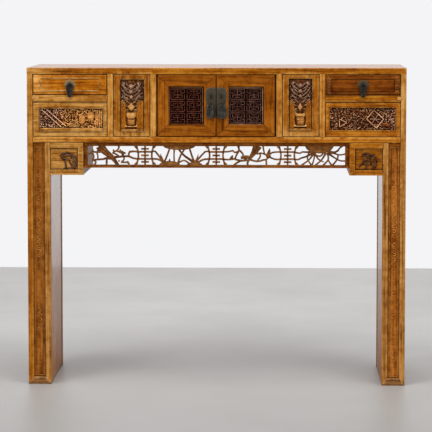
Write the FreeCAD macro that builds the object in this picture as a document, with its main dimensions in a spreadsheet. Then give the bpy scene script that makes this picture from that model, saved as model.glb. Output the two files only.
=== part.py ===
import FreeCAD, Part
import math
import os
import types

import Sketcher

# Chinese altar table: a narrow case with two drawers and a pair of fret doors stands on two
# hollow legs as deep as the case, with bracket boxes in the corners and a pierced apron.
# +X is to the right, +Y goes to the back, +Z is up. The origin is on the floor, in the middle
# of the whole outline, the hanging pulls included.

doc = FreeCAD.newDocument("AltarTable")
sheet = doc.addObject("Spreadsheet::Sheet", "Sizes")

# Driving sizes in millimetres: name, value, what it is
driving_sizes = [
    ("table_width", "1050", "overall width"),
    ("table_depth", "330", "front of the case to its back"),
    ("table_height", "885", "floor to the top"),
    ("top_rail_tall", "17.5", "height of the mitred frame of the top"),
    ("top_rail_wide", "48", "width of that frame seen from above"),
    ("top_panel_thick", "10", "panel let into the top frame"),
    ("corner_post_wide", "16", "corner post seen from the front"),
    ("bay_post_wide", "17", "post between two bays"),
    ("drawer_bay_wide", "207", "clear width of a drawer bay"),
    ("vase_bay_wide", "102", "clear width of a bay with a fixed upright panel"),
    ("drawer_opening_tall", "58", "clear height of a drawer opening"),
    ("drawer_rail_tall", "19.5", "rail under a drawer"),
    ("lower_opening_tall", "96", "clear height of the fixed panel under a drawer"),
    ("case_rail_tall", "16.5", "rail along the bottom of the case"),
    ("member_deep", "24", "front to back size of posts and rails"),
    ("edge_ease", "2", "easing of the front edges of posts and rails"),
    ("groove_deep", "5", "how far a panel enters the members round it"),
    ("tenon_long", "8", "length of a tenon"),
    ("tenon_shoulder", "4", "shoulder round a tenon"),
    ("panel_thick", "8", "plain panels"),
    ("end_recess", "2", "end and back panels behind the outer face"),
    ("floor_thick", "9", "bottom board of the case"),
    ("floor_drop", "2", "bottom board under the top of the rails"),
    ("partition_thick", "12", "upright board beside each drawer"),
    ("leg_strip_wide", "32", "carved strip in the front of a leg"),
    ("leg_stile_wide", "16", "inner stile of a leg"),
    ("foot_rail_tall", "21", "rail at the foot of a leg"),
    ("strip_recess", "3", "carved strip behind the face of its frame"),
    ("strip_border", "4", "plain border round the sunk field of the strip"),
    ("strip_field_deep", "1.5", "depth of that sunk field"),
    ("cheek_thick", "10", "board on the inner side of a leg"),
    ("cheek_recess", "1", "that board behind the inner face of the stiles"),
    ("bracket_wide", "92", "corner bracket box seen from the front"),
    ("bracket_tall", "90", "height of the bracket box"),
    ("bracket_member", "15", "frame members of the bracket box"),
    ("bracket_recess", "4", "its panel behind the frame"),
    ("bracket_board", "10", "boards of the bracket box"),
    ("apron_tall", "70", "height of the pierced apron"),
    ("apron_setback", "4", "apron frame behind the face of the case"),
    ("apron_thick", "16", "thickness of the apron frame"),
    ("apron_top_rail", "7", "top member of the apron frame"),
    ("apron_foot_rail", "5", "bottom member of the apron frame"),
    ("apron_stile", "9", "end member of the apron frame"),
    ("fret_board", "9", "thickness of the pierced board"),
    ("fret_setback", "3", "pierced board behind the apron frame"),
    ("fret_border", "3", "plain edge that ties the pierced work together"),
    ("divider_pitch", "198", "middle to middle of the longevity dividers"),
    ("divider_wide", "44", "width of a divider"),
    ("divider_bar", "5", "width of the bars of a divider"),
    ("carved_thick", "13", "carved panels of the case"),
    ("carved_recess", "1.5", "carved panels behind the face of the posts"),
    ("carved_side", "16.5", "plain border at the ends of a drawer bay panel"),
    ("carved_top", "16", "plain border over its carving"),
    ("carved_foot", "22", "plain border under its carving"),
    ("vase_side", "17", "plain border at the sides of a vase panel"),
    ("vase_end", "14", "plain border at its top and bottom"),
    ("carved_deep", "5", "depth of the sunk field of a carved panel"),
    ("relief_high", "3.5", "height of the carving over that field"),
    ("drawer_gap", "1.2", "gap round a drawer front"),
    ("drawer_slide_gap", "0.3", "drawer side over its runner"),
    ("drawer_front_thick", "16", "drawer front"),
    ("drawer_side_thick", "10", "drawer side and back"),
    ("drawer_side_tall", "46", "height of a drawer side"),
    ("drawer_long", "285", "drawer, front to back"),
    ("drawer_bottom_thick", "6", "drawer bottom"),
    ("drawer_bottom_rise", "5", "drawer bottom over the lower edge of the sides"),
    ("cartouche_margin", "12", "edge of a drawer front to its moulding"),
    ("cartouche_notch", "7", "stepped corner of the moulding"),
    ("cartouche_groove", "3", "width of the moulding groove"),
    ("cartouche_deep", "2", "depth of that groove"),
    ("drawer_edge_ease", "1.2", "easing of the front edges of the drawers"),
    ("runner_wide", "14", "drawer runner past the opening's edge"),
    ("guide_tall", "20", "drawer guide over the runner"),
    ("door_gap", "1.5", "gap round a door"),
    ("door_meeting_gap", "2", "gap between the doors"),
    ("door_thick", "18", "door frame"),
    ("door_member", "33", "width of the door frame members"),
    ("pivot_radius", "4", "wooden pivot pin of a door"),
    ("pivot_long", "8", "length of the pivot pin out of the door"),
    ("pivot_gap", "0.25", "play round the pivot pin"),
    ("lattice_recess", "3", "fret panel behind the door frame"),
    ("lattice_thick", "9", "fret panel"),
    ("lattice_deep", "4", "how deep the fret is cut"),
    ("lattice_bar", "2.4", "width of a fret bar"),
    ("lattice_edge", "3", "rim round the fret"),
    ("plate_thick", "1.2", "metal plates"),
    ("drawer_plate_wide", "33", "lobed plate of a drawer"),
    ("drawer_plate_tall", "26", "height of that plate"),
    ("door_plate_wide", "28", "half of the split door plate"),
    ("door_plate_tall", "76", "straight height of the split door plate"),
    ("door_plate_rise", "59", "foot of the door plate over the foot of the door"),
    ("ring_radius", "6", "middle line of a staple's ring"),
    ("ring_half", "1", "half the thickness of its bar"),
    ("ring_gap", "0.3", "ring in front of its plate"),
    ("staple_wide", "1.8", "thickness of a staple's leg"),
    ("staple_leg", "10", "leg of a staple behind its ring"),
    ("lock_ring_height", "111", "lock staple over the foot of the door"),
    ("lock_ring_inset", "13", "lock staple from the meeting edge"),
    ("door_ring_height", "86", "pull staple over the foot of the door"),
    ("door_ring_inset", "16", "pull staple from the meeting edge"),
    ("drawer_ring_rise", "1", "pull staple over the middle of the drawer front"),
    ("pull_thick", "2", "metal pulls"),
    ("pull_hole_radius", "1.9", "hole of a pull round the staple"),
    ("pull_top_radius", "8", "top of a pull round its hole"),
    ("leaf_pull_radius", "10", "lower end of the narrow pulls"),
    ("leaf_pull_drop", "21", "hole to the middle of that end"),
    ("round_pull_radius", "13", "lower end of the broad pull"),
    ("round_pull_drop", "18", "hole to the middle of that end"),
    ("cut_overrun", "2", "how far cutting shapes pass a surface"),
]


class Length:
    """A length that keeps its formula in the names of the sheet beside its present value."""

    def __init__(self, formula, value):
        self.formula = formula
        self.value = value

    def __float__(self):
        return self.value

    def __neg__(self):
        return Length(f"(-{self.formula})", -self.value)

    def __add__(self, other):
        return Length(f"({self.formula} + {formula_of(other)})", self.value + float(other))

    def __radd__(self, other):
        return self + other

    def __sub__(self, other):
        return Length(f"({self.formula} - {formula_of(other)})", self.value - float(other))

    def __rsub__(self, other):
        return -self + other

    def __mul__(self, count):
        return Length(f"({self.formula} * {count})", self.value * count)

    def __rmul__(self, count):
        return self * count

    def __truediv__(self, count):
        return Length(f"({self.formula} / {count})", self.value / count)


def formula_of(thing):
    """The formula of a length, or a plain number as it stands."""
    return thing.formula if isinstance(thing, Length) else str(thing)


size = types.SimpleNamespace()
for row, (alias, value, note) in enumerate(driving_sizes, start=1):
    sheet.set(f"A{row}", note)
    sheet.set(f"B{row}", value)
    sheet.setAlias(f"B{row}", alias)
    setattr(size, alias, Length(f"Sizes.{alias}", float(value)))
doc.recompute()

# Derived places, written as formulas of the driving sizes
reach = size.plate_thick + size.ring_gap + 2 * (size.ring_radius + size.ring_half)
front = (reach - size.table_depth) / 2
back = front + size.table_depth
left = -size.table_width / 2
top_under = size.table_height - size.top_rail_tall
drawer_sill = top_under - size.drawer_opening_tall
panel_head = drawer_sill - size.drawer_rail_tall
case_sill = panel_head - size.lower_opening_tall
case_foot = case_sill - size.case_rail_tall
opening_tall = size.drawer_opening_tall + size.drawer_rail_tall + size.lower_opening_tall
bay_start = left + size.corner_post_wide
post_a = bay_start + size.drawer_bay_wide
vase_start = post_a + size.bay_post_wide
post_b = vase_start + size.vase_bay_wide
door_start = post_b + size.bay_post_wide
leg_wide = size.corner_post_wide + size.leg_strip_wide + size.leg_stile_wide
leg_in = left + leg_wide
bracket_in = leg_in + size.bracket_wide
frame_back = front + size.member_deep
rear_front = back - size.member_deep
between_frames = size.table_depth - 2 * size.member_deep

parts = {}
cut_checks = []


def keep(label, piece):
    """Gives a finished sub-part its label, which also names its file."""
    piece.Label = label
    parts[label] = piece
    return piece


def place(piece, x, y, z):
    """Binds the place of a piece to three formulas."""
    for axis, formula in zip("xyz", (x, y, z)):
        piece.setExpression(f"Placement.Base.{axis}", formula_of(formula))
    return piece


def box(name, at, span):
    """A Part::Box with its low corner and its three sides bound."""
    piece = doc.addObject("Part::Box", name)
    for side, formula in zip(("Length", "Width", "Height"), span):
        piece.setExpression(side, formula_of(formula))
    return place(piece, *at)


def rod(name, at, radius, length, turn=None):
    """A Part::Cylinder along +Z, or turned first by the given rotation."""
    piece = doc.addObject("Part::Cylinder", name)
    piece.setExpression("Radius", formula_of(radius))
    piece.setExpression("Height", formula_of(length))
    if turn:
        piece.Placement = FreeCAD.Placement(FreeCAD.Vector(), turn)
    return place(piece, *at)


def new_body(name, at):
    """An empty PartDesign body with its own origin bound to a place."""
    return place(doc.addObject("PartDesign::Body", name), *at)


def base_plane(body, role):
    """One of a body's own origin planes."""
    return next(item for item in body.Origin.OriginFeatures if item.Role == role)


def new_sketch(body, role):
    sketch = body.newObject("Sketcher::SketchObject", body.Name + "_sketch")
    sketch.AttachmentSupport = [(base_plane(body, role), "")]
    sketch.MapMode = "FlatFace"
    return sketch


def pin_point(sketch, edge, vertex, x, y):
    """Ties one point of a sketch to two formulas."""
    for kind, formula, axis in (("DistanceX", x, -2), ("DistanceY", y, -1)):
        if formula == 0:
            sketch.addConstraint(Sketcher.Constraint("PointOnObject", edge, vertex, axis))
        else:
            rule = Sketcher.Constraint(kind, -1, 1, edge, vertex, float(size.edge_ease))
            number = sketch.addConstraint(rule)
            sketch.setExpression(f"Constraints[{number}]", formula_of(formula))


def polygon(sketch, corners):
    """A closed outline of straight edges whose corners are pairs of formulas."""
    count = len(corners)
    first = sketch.GeometryCount
    spread = float(size.table_width)
    start = []
    for number in range(count):
        angle = 2 * math.pi * number / count
        start.append(FreeCAD.Vector(math.cos(angle) * spread, math.sin(angle) * spread, 0))
    for number in range(count):
        following = start[(number + 1) % count]
        sketch.addGeometry(Part.LineSegment(start[number], following))
    for number in range(count):
        following = first + (number + 1) % count
        sketch.addConstraint(Sketcher.Constraint("Coincident", first + number, 2, following, 1))
    for number, (x, y) in enumerate(corners):
        pin_point(sketch, first + number, 1, x, y)


def rectangle(sketch, x0, y0, x1, y1):
    polygon(sketch, [(x0, y0), (x1, y0), (x1, y1), (x0, y1)])


def part_of(length, share):
    """A share of a length, or a plain zero."""
    share = round(share, 6)
    return length * share if share else 0


def round_corners(radius, count, middle=0):
    """Corners on a circle, which stand for the circle on small round forms."""
    corners = []
    for number in range(count):
        angle = 2 * math.pi * number / count
        across = part_of(radius, math.cos(angle)) + middle
        rise = part_of(radius, math.sin(angle)) + middle
        corners.append((across, rise))
    return corners


def pad(body, sketch, length, inward=False):
    """Pads a sketch; inward turns a sketch on the XZ plane towards the back."""
    feature = body.newObject("PartDesign::Pad", body.Name + "_pad")
    feature.Profile = sketch
    feature.Reversed = inward
    feature.setExpression("Length", formula_of(length))
    return feature


def pocket(body, sketch, depth):
    """Cuts a sketch on the XZ plane into the body from its front."""
    before = body.Tip
    feature = body.newObject("PartDesign::Pocket", body.Name + "_pocket")
    feature.Profile = sketch
    feature.setExpression("Length", formula_of(depth))
    cut_checks.append((before, feature))
    return feature


def front_edges(shape, axis, top_only=False):
    """Names of the straight edges along one axis that lie in the front face of a shape."""
    limits = shape.BoundBox
    names = []
    for number, edge in enumerate(shape.Edges, start=1):
        ends = [vertex.Point for vertex in edge.Vertexes]
        if len(ends) != 2 or any(abs(end.y - limits.YMin) > tiny for end in ends):
            continue
        run = ends[1] - ends[0]
        if abs(getattr(run, axis)) < run.Length - tiny:
            continue
        if top_only and any(abs(end.z - limits.ZMax) > tiny for end in ends):
            continue
        names.append(f"Edge{number}")
    return names


def soften(body, ease, axis, top_only=False):
    """Eases the front edges of a body that run along one axis, each with one small bevel."""
    doc.recompute()
    tip = body.Tip
    feature = body.newObject("PartDesign::Chamfer", body.Name + "_ease")
    local = tip.Shape.copy()
    feature.Base = (tip, front_edges(local, axis, top_only))
    feature.setExpression("Size", formula_of(ease))
    return feature


def board(name, at, corners, thick):
    """A body with an outline in the XZ plane, padded from its front towards the back."""
    body = new_body(name, at)
    sketch = new_sketch(body, "XZ_Plane")
    polygon(sketch, corners)
    pad(body, sketch, thick, inward=True)
    return body


def bar(name, at, span, axis, ease=size.edge_ease):
    """A straight member with its long front edges eased."""
    wide, deep, tall = span
    body = board(name, at, [(0, 0), (wide, 0), (wide, tall), (0, tall)], deep)
    soften(body, ease, axis)
    return body


def fuse(name, pieces):
    joined = doc.addObject("Part::MultiFuse", name)
    joined.Shapes = pieces
    return joined


def cut_by(name, piece, tools):
    """Takes the finished neighbours out of a member, which leaves their mortises and grooves."""
    for tool in tools:
        cut = doc.addObject("Part::Cut", name)
        cut.Base = piece
        cut.Tool = tool
        piece = cut
    return piece


def mirrored(name, piece):
    """The same piece on the other side of the table."""
    twin = doc.addObject("Part::Mirroring", name)
    twin.Source = piece
    twin.Base = (0, 0, 0)
    twin.Normal = (1, 0, 0)
    return twin


def group(label, pieces):
    """Repeated pieces of one kind share a sub-part as separate solids."""
    together = doc.addObject("Part::Compound", label)
    together.Links = pieces
    return keep(label, together)


def with_twin(label, piece):
    """A piece and its mirror image in one sub-part."""
    return group(label, [piece, mirrored(label + "_twin", piece)])


def left_and_right(stem, piece):
    """A left piece and its mirror image as two sub-parts."""
    twin = mirrored(stem + "_right", piece)
    keep(stem + "_left", piece)
    keep(stem + "_right", twin)
    return piece, twin


tiny = Part.Vertex(0, 0, 0).Tolerance

# Panels come first, because every member round them is grooved by their edges.
# Leg panels: a sunk strip in front, plain ones behind and at the ends
strip_wide = size.leg_strip_wide + 2 * size.groove_deep
strip_tall = case_foot - size.foot_rail_tall + 2 * size.groove_deep
strip_x = bay_start - size.groove_deep
strip_z = size.foot_rail_tall - size.groove_deep
side_y = frame_back - size.groove_deep
side_span = between_frames + 2 * size.groove_deep

strip_corners = [(0, 0), (strip_wide, 0), (strip_wide, strip_tall), (0, strip_tall)]
strip_at = (strip_x, front + size.strip_recess, strip_z)
leg_strip = board("leg_strip", strip_at, strip_corners, size.panel_thick)
strip_field = new_sketch(leg_strip, "XZ_Plane")
field_edge = size.groove_deep + size.strip_border
rectangle(strip_field, field_edge, field_edge, strip_wide - field_edge, strip_tall - field_edge)
pocket(leg_strip, strip_field, size.strip_field_deep)
left_and_right("leg_panel_front", leg_strip)

rear_strip_at = (strip_x, back - size.strip_recess - size.panel_thick, strip_z)
rear_strip = box("rear_strip", rear_strip_at, (strip_wide, size.panel_thick, strip_tall))
with_twin("leg_panels_back", rear_strip)

end_x = left + size.end_recess
leg_end = box("leg_end", (end_x, side_y, strip_z), (size.panel_thick, side_span, strip_tall))
with_twin("leg_panels_end", leg_end)

cheek_x = leg_in - size.cheek_recess - size.cheek_thick
cheek = box("cheek", (cheek_x, side_y, 0), (size.cheek_thick, side_span, case_foot))
with_twin("leg_cheeks", cheek)

# Case panels: ends, back and floor
case_end_span = (size.panel_thick, side_span, opening_tall + 2 * size.groove_deep)
case_end = box("case_end", (end_x, side_y, case_sill - size.groove_deep), case_end_span)
with_twin("case_panels_end", case_end)

back_y = back - size.end_recess - size.panel_thick
inner_width = size.table_width - 2 * size.corner_post_wide
back_at = (bay_start - size.groove_deep, back_y, case_sill - size.groove_deep)
back_span = (inner_width + 2 * size.groove_deep, size.panel_thick, opening_tall + 2 * size.groove_deep)
case_back = keep("case_back", box("case_back", back_at, back_span))

floor_at = (bay_start - size.groove_deep, side_y, case_sill - size.floor_drop - size.floor_thick)
floor_span = (inner_width + 2 * size.groove_deep, side_span, size.floor_thick)
case_floor = keep("case_floor", box("case_floor", floor_at, floor_span))

partition_x = post_a + (size.bay_post_wide - size.partition_thick) / 2
partition_y = frame_back - size.groove_deep
partition_z = case_sill - size.floor_drop
partition_span = (size.partition_thick, back_y - partition_y, top_under - partition_z)
partition = box("partition", (partition_x, partition_y, partition_z), partition_span)
with_twin("partitions", partition)

# Carving is made of strokes: bows through three points with a width at each point. Points are
# shares of the carved field, from its lower left corner. Widths are shares of its height.
bow_runs = 2
disc_runs = 8


def point_in(field, share):
    """A point of a carved field, (x, z, wide, tall), from its shares."""
    x, z, wide, tall = field
    return FreeCAD.Vector(x + share[0] * wide, 0, z + share[1] * tall)


def bow(first, middle, last):
    """Points on the arc through three points, or the two ends where they lie in one line."""
    bend = (middle - first).cross(last - first).Length / (last - first).Length
    if bend < float(size.fret_border) / 10:
        return [first, last]
    return Part.Arc(first, middle, last).toShape().discretize(Number=bow_runs + 1)


def facing_front(points):
    """A flat face inside a closed outline; all such faces look the same way, so that they join."""
    face = Part.Face(Part.makePolygon(points + points[:1]))
    if face.normalAt(0, 0).y > 0:
        face.reverse()
    return face


def stroke_face(field, stroke, heavier=1):
    """The flat outline of one stroke in the XZ plane, or of a heavier one."""
    first, middle, last = [point_in(field, share) for share in stroke[:3]]
    halves = [share * field[3] * heavier / 2 for share in stroke[3]]
    along = [middle - first, last - first, last - middle]
    sides = []
    for sign in (1, -1):
        side = []
        for spot, way, half in zip((first, middle, last), along, halves):
            across = FreeCAD.Vector(-way.z, 0, way.x).normalize()
            side.append(spot + across * half * sign)
        sides.append(side)
    return facing_front(bow(*sides[0]) + bow(*sides[1])[::-1])


def mound_face(field, mound):
    """A flat outline between an arc and its chord."""
    return facing_front(bow(*[point_in(field, share) for share in mound]))


def box_face(field, low, high):
    """A flat upright rectangle between two points given as shares."""
    corner = point_in(field, low)
    opposite = point_in(field, high)
    others = (FreeCAD.Vector(opposite.x, 0, corner.z), FreeCAD.Vector(corner.x, 0, opposite.z))
    return facing_front([corner, others[0], opposite, others[1]])


def disc_face(field, centre, radius_share):
    """A flat disc; its radius is a share of the field's height."""
    middle = point_in(field, centre)
    ring = Part.makeCircle(radius_share * field[3], middle, FreeCAD.Vector(0, 1, 0))
    return facing_front(ring.discretize(Number=disc_runs + 1)[:-1])


def carved_solid(faces, thick):
    """One solid from overlapping flat outlines, each padded towards the back."""
    run = FreeCAD.Vector(0, thick, 0)
    solids = [face.extrude(run) for face in faces]
    if len(solids) == 1:
        return solids[0]
    return solids[0].multiFuse(solids[1:]).removeSplitter()


def carved(name, faces, thick, depth_at, limits=None):
    """A Part::Feature whose shape is the joined strokes, placed at its depth."""
    piece = doc.addObject("Part::Feature", name)
    joined = carved_solid(faces, thick)
    if limits:
        joined = joined.common(carved_solid([limits], thick)).removeSplitter()
    piece.Shape = joined
    piece.Placement = FreeCAD.Placement(FreeCAD.Vector(0, depth_at, 0), FreeCAD.Rotation())
    return piece


# Carved panels of the drawer bays. Left: a double flute and two peaches. Right: two lozenges
def carved_panel(stem, at_x, span, borders):
    """A thick board that fills a bay, with a sunk field inside plain borders."""
    wide, tall = span
    side, foot, head = borders
    body_wide = wide + 2 * size.groove_deep
    body_tall = tall + 2 * size.groove_deep
    corners = [(0, 0), (body_wide, 0), (body_wide, body_tall), (0, body_tall)]
    at = (at_x - size.groove_deep, front + size.carved_recess, case_sill - size.groove_deep)
    body = board(stem, at, corners, size.carved_thick)
    sketch = new_sketch(body, "XZ_Plane")
    x0 = size.groove_deep + side
    z0 = size.groove_deep + foot
    rectangle(sketch, x0, z0, body_wide - x0, body_tall - size.groove_deep - head)
    pocket(body, sketch, size.carved_deep)
    return body


bay_borders = (size.carved_side, size.carved_foot, size.carved_top)
vase_borders = (size.vase_side, size.vase_end, size.vase_end)
relief_y = float(front + size.carved_recess + size.carved_deep - size.relief_high)
bay_field = (
    float(bay_start + size.carved_side),
    float(case_sill + size.carved_foot),
    float(size.drawer_bay_wide - 2 * size.carved_side),
    float(size.lower_opening_tall - size.carved_foot - size.carved_top),
)
right_bay_field = (float(-post_a + size.carved_side),) + bay_field[1:]
vase_field = (
    float(vase_start + size.vase_side),
    float(case_sill + size.vase_end),
    float(size.vase_bay_wide - 2 * size.vase_side),
    float(opening_tall - 2 * size.vase_end),
)

flute_shares = [
    ((0.04, 0.97), (0.24, 0.47), (0.40, 0.03), (0.07, 0.07, 0.07)),
    ((0.12, 0.97), (0.30, 0.50), (0.45, 0.08), (0.07, 0.07, 0.07)),
]
peach_shares = [((0.66, 0.42), 0.21), ((0.78, 0.66), 0.21)]
lozenge_shares = [
    ((0.36, 0.50), (0.50, 0.75), (0.64, 0.98), (0.08, 0.08, 0.08)),
    ((0.64, 0.98), (0.78, 0.75), (0.92, 0.50), (0.08, 0.08, 0.08)),
    ((0.92, 0.50), (0.78, 0.25), (0.64, 0.02), (0.08, 0.08, 0.08)),
    ((0.64, 0.02), (0.50, 0.25), (0.36, 0.50), (0.08, 0.08, 0.08)),
    ((0.50, 0.50), (0.57, 0.64), (0.64, 0.78), (0.07, 0.07, 0.07)),
    ((0.64, 0.78), (0.71, 0.64), (0.78, 0.50), (0.07, 0.07, 0.07)),
    ((0.78, 0.50), (0.71, 0.36), (0.64, 0.22), (0.07, 0.07, 0.07)),
    ((0.64, 0.22), (0.57, 0.36), (0.50, 0.50), (0.07, 0.07, 0.07)),
]
vase_shares = [
    ((0.26, 0.36), (0.50, 0.18), (0.74, 0.36), (0.03, 0.12, 0.03)),
    ((0.50, 0.24), (0.50, 0.16), (0.50, 0.09), (0.10, 0.10, 0.10)),
    ((0.24, 0.10), (0.50, 0.10), (0.76, 0.10), (0.04, 0.04, 0.04)),
    ((0.50, 0.28), (0.44, 0.56), (0.51, 0.80), (0.04, 0.04, 0.04)),
    ((0.49, 0.44), (0.30, 0.54), (0.14, 0.52), (0.04, 0.05, 0.03)),
    ((0.50, 0.44), (0.70, 0.54), (0.86, 0.52), (0.04, 0.05, 0.03)),
    ((0.48, 0.64), (0.32, 0.76), (0.14, 0.74), (0.04, 0.06, 0.03)),
    ((0.50, 0.64), (0.68, 0.76), (0.86, 0.74), (0.04, 0.06, 0.03)),
]
blossom_shares = [((0.50, 0.84), 0.08)]


def relief(name, field, strokes, discs):
    """Low carving that stands on the sunk field of a panel."""
    faces = [stroke_face(field, stroke) for stroke in strokes]
    faces += [disc_face(field, centre, radius_share) for centre, radius_share in discs]
    return carved(name, faces, float(size.relief_high), relief_y)


def finish_carved(label, body, carving):
    return keep(label, fuse(label, [body, carving]))


bay_span = (size.drawer_bay_wide, size.lower_opening_tall)
bay_board = carved_panel("bay_board", bay_start, bay_span, bay_borders)
left_carving = relief("left_carving", bay_field, flute_shares, peach_shares)
carved_left = finish_carved("carved_panel_left", bay_board, left_carving)
bay_board_twin = mirrored("bay_board_twin", bay_board)
right_carving = relief("right_carving", right_bay_field, lozenge_shares, [])
finish_carved("carved_panel_right", bay_board_twin, right_carving)

vase_board = carved_panel("vase_board", vase_start, (size.vase_bay_wide, opening_tall), vase_borders)
vase_carving = relief("vase_carving", vase_field, vase_shares, blossom_shares)
vase_left = fuse("vase_panel_left", [vase_board, vase_carving])
left_and_right("vase_panel", vase_left)

# Rails between the posts, each with a tenon at both ends
tenon_deep = size.member_deep - 2 * size.tenon_shoulder


def rail_along_x(name, at, wide, tall):
    """A front or back rail with eased front edges and a tenon at each end."""
    x, y, z = at
    middle = bar(name, at, (wide, size.member_deep, tall), "x")
    tenon_at = (x - size.tenon_long, y + size.tenon_shoulder, z + size.tenon_shoulder)
    tenon_span = (wide + 2 * size.tenon_long, tenon_deep, tall - 2 * size.tenon_shoulder)
    return fuse(name + "_rail", [middle, box(name + "_tenons", tenon_at, tenon_span)])


def rail_along_y(name, z, tall):
    """An end rail between the front and back corner posts."""
    at = (left, frame_back, z)
    middle = box(name, at, (size.corner_post_wide, between_frames, tall))
    tenon_at = (left + size.tenon_shoulder, frame_back - size.tenon_long, z + size.tenon_shoulder)
    tenon_wide = size.corner_post_wide - 2 * size.tenon_shoulder
    tenon_span = (tenon_wide, between_frames + 2 * size.tenon_long, tall - 2 * size.tenon_shoulder)
    return fuse(name + "_rail", [middle, box(name + "_tenons", tenon_at, tenon_span)])


foot_end = cut_by("foot_end", rail_along_y("foot_end", 0, size.foot_rail_tall), [leg_end])
with_twin("foot_rails_end", foot_end)
case_end_rail = rail_along_y("case_end_rail", case_foot, size.case_rail_tall)
case_end_rail = cut_by("case_end_rail", case_end_rail, [leg_end, case_end, case_floor])
with_twin("case_rails_end", case_end_rail)

drawer_rail_at = (bay_start, front, panel_head)
drawer_rail = rail_along_x("drawer_rail", drawer_rail_at, size.drawer_bay_wide, size.drawer_rail_tall)
drawer_rail = cut_by("drawer_rail", drawer_rail, [carved_left, case_end, partition])
with_twin("drawer_rails", drawer_rail)


# Posts between the bays, with a tenon at each end
def bay_post(name, x):
    span = (size.bay_post_wide, size.member_deep, opening_tall)
    middle = bar(name, (x, front, case_sill), span, "z")
    tenon_at = (x + size.tenon_shoulder, front + size.tenon_shoulder, case_sill - size.tenon_long)
    tenon_wide = size.bay_post_wide - 2 * size.tenon_shoulder
    tenon_span = (tenon_wide, tenon_deep, opening_tall + 2 * size.tenon_long)
    return fuse(name + "_post", [middle, box(name + "_tenons", tenon_at, tenon_span)])


vase_panel = parts["vase_panel_left"]
outer_takes = [carved_left, vase_panel, drawer_rail, partition, case_floor]
outer_post = cut_by("outer_post", bay_post("outer", post_a), outer_takes)
inner_post = cut_by("inner_post", bay_post("inner", post_b), [vase_panel, case_floor])
post_twins = [mirrored("outer_post_twin", outer_post), mirrored("inner_post_twin", inner_post)]
bay_posts = group("bay_posts", [outer_post, inner_post] + post_twins)


# Runners of L section that also guide the drawers: the side runs on the low step
runner_long = back_y - frame_back
guide_high = size.drawer_rail_tall + size.guide_tall
outer_guide = size.corner_post_wide - size.end_recess - size.panel_thick
outer_wide = outer_guide + size.runner_wide
outer_section = [
    (0, 0),
    (outer_wide, 0),
    (outer_wide, size.drawer_rail_tall),
    (outer_guide, size.drawer_rail_tall),
    (outer_guide, guide_high),
    (0, guide_high),
]
inner_wide = size.runner_wide + (size.bay_post_wide - size.partition_thick) / 2
inner_section = [
    (0, 0),
    (inner_wide, 0),
    (inner_wide, guide_high),
    (size.runner_wide, guide_high),
    (size.runner_wide, size.drawer_rail_tall),
    (0, size.drawer_rail_tall),
]
outer_runner_at = (end_x + size.panel_thick, frame_back, panel_head)
inner_runner_at = (post_a - size.runner_wide, frame_back, panel_head)
outer_runner = board("outer_runner", outer_runner_at, outer_section, runner_long)
inner_runner = board("inner_runner", inner_runner_at, inner_section, runner_long)
runner_twins = [mirrored("outer_runner_twin", outer_runner), mirrored("inner_runner_twin", inner_runner)]
group("drawer_runners", [outer_runner, inner_runner] + runner_twins)


# Corner posts and inner stiles: mitred at the foot, where the foot rail meets them
def top_tenon(name, x, y, z, wide):
    at = (x + size.tenon_shoulder, y + size.tenon_shoulder, z)
    return box(name, at, (wide - 2 * size.tenon_shoulder, tenon_deep, size.tenon_long))


def corner_post(name, y, eased):
    wide = size.corner_post_wide
    corners = [(0, 0), (wide, size.foot_rail_tall), (wide, top_under), (0, top_under)]
    post = board(name, (left, y, 0), corners, size.member_deep)
    if eased:
        soften(post, size.edge_ease, "z")
    return fuse(name + "_post", [post, top_tenon(name + "_tenon", left, y, top_under, wide)])


def leg_stile(name, y, eased):
    wide = size.leg_stile_wide
    x = leg_in - wide
    corners = [(0, size.foot_rail_tall), (wide, 0), (wide, case_foot), (0, case_foot)]
    stile = board(name, (x, y, 0), corners, size.member_deep)
    if eased:
        soften(stile, size.edge_ease, "z")
    return fuse(name + "_stile", [stile, top_tenon(name + "_tenon", x, y, case_foot, wide)])


def foot_rail(name, y):
    inner = leg_wide - size.leg_stile_wide
    corners = [(0, 0), (leg_wide, 0), (inner, size.foot_rail_tall)]
    corners.append((size.corner_post_wide, size.foot_rail_tall))
    return board(name, (left, y, 0), corners, size.member_deep)


front_foot = cut_by("front_foot", foot_rail("front_foot", front), [leg_strip, cheek, foot_end])
rear_foot = cut_by("rear_foot", foot_rail("rear_foot", rear_front), [rear_strip, cheek, foot_end])
foot_twins = [mirrored("front_foot_twin", front_foot), mirrored("rear_foot_twin", rear_foot)]
group("foot_rails", [front_foot, rear_foot] + foot_twins)

# Corner bracket boxes: a mitred frame of three members, a panel and boards to the back
bracket_z = case_foot - size.bracket_tall
bracket_at = (leg_in, front, bracket_z)
bracket_panel_wide = size.bracket_wide - size.bracket_member + 2 * size.groove_deep
bracket_panel_tall = size.bracket_tall - 2 * size.bracket_member + 2 * size.groove_deep
bracket_panel_z = bracket_z + size.bracket_member - size.groove_deep
bracket_panel_at = (leg_in - size.groove_deep, front + size.bracket_recess, bracket_panel_z)
bracket_panel_span = (bracket_panel_wide, size.panel_thick, bracket_panel_tall)
bracket_panel = box("bracket_board", bracket_panel_at, bracket_panel_span)
bracket_field = (
    float(leg_in),
    float(bracket_z + size.bracket_member),
    float(size.bracket_wide - size.bracket_member),
    float(size.bracket_tall - 2 * size.bracket_member),
)
cap_shares = [
    ((0.30, 0.60), (0.52, 0.82), (0.86, 0.60), (0.12, 0.18, 0.14)),
    ((0.86, 0.62), (0.92, 0.40), (0.84, 0.18), (0.14, 0.14, 0.10)),
    ((0.48, 0.14), (0.53, 0.34), (0.56, 0.58), (0.14, 0.12, 0.12)),
    ((0.46, 0.14), (0.66, 0.14), (0.86, 0.14), (0.10, 0.10, 0.10)),
]
bracket_relief_deep = float(size.bracket_recess) - float(size.carved_recess)
bracket_relief_y = float(front + size.carved_recess)
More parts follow.
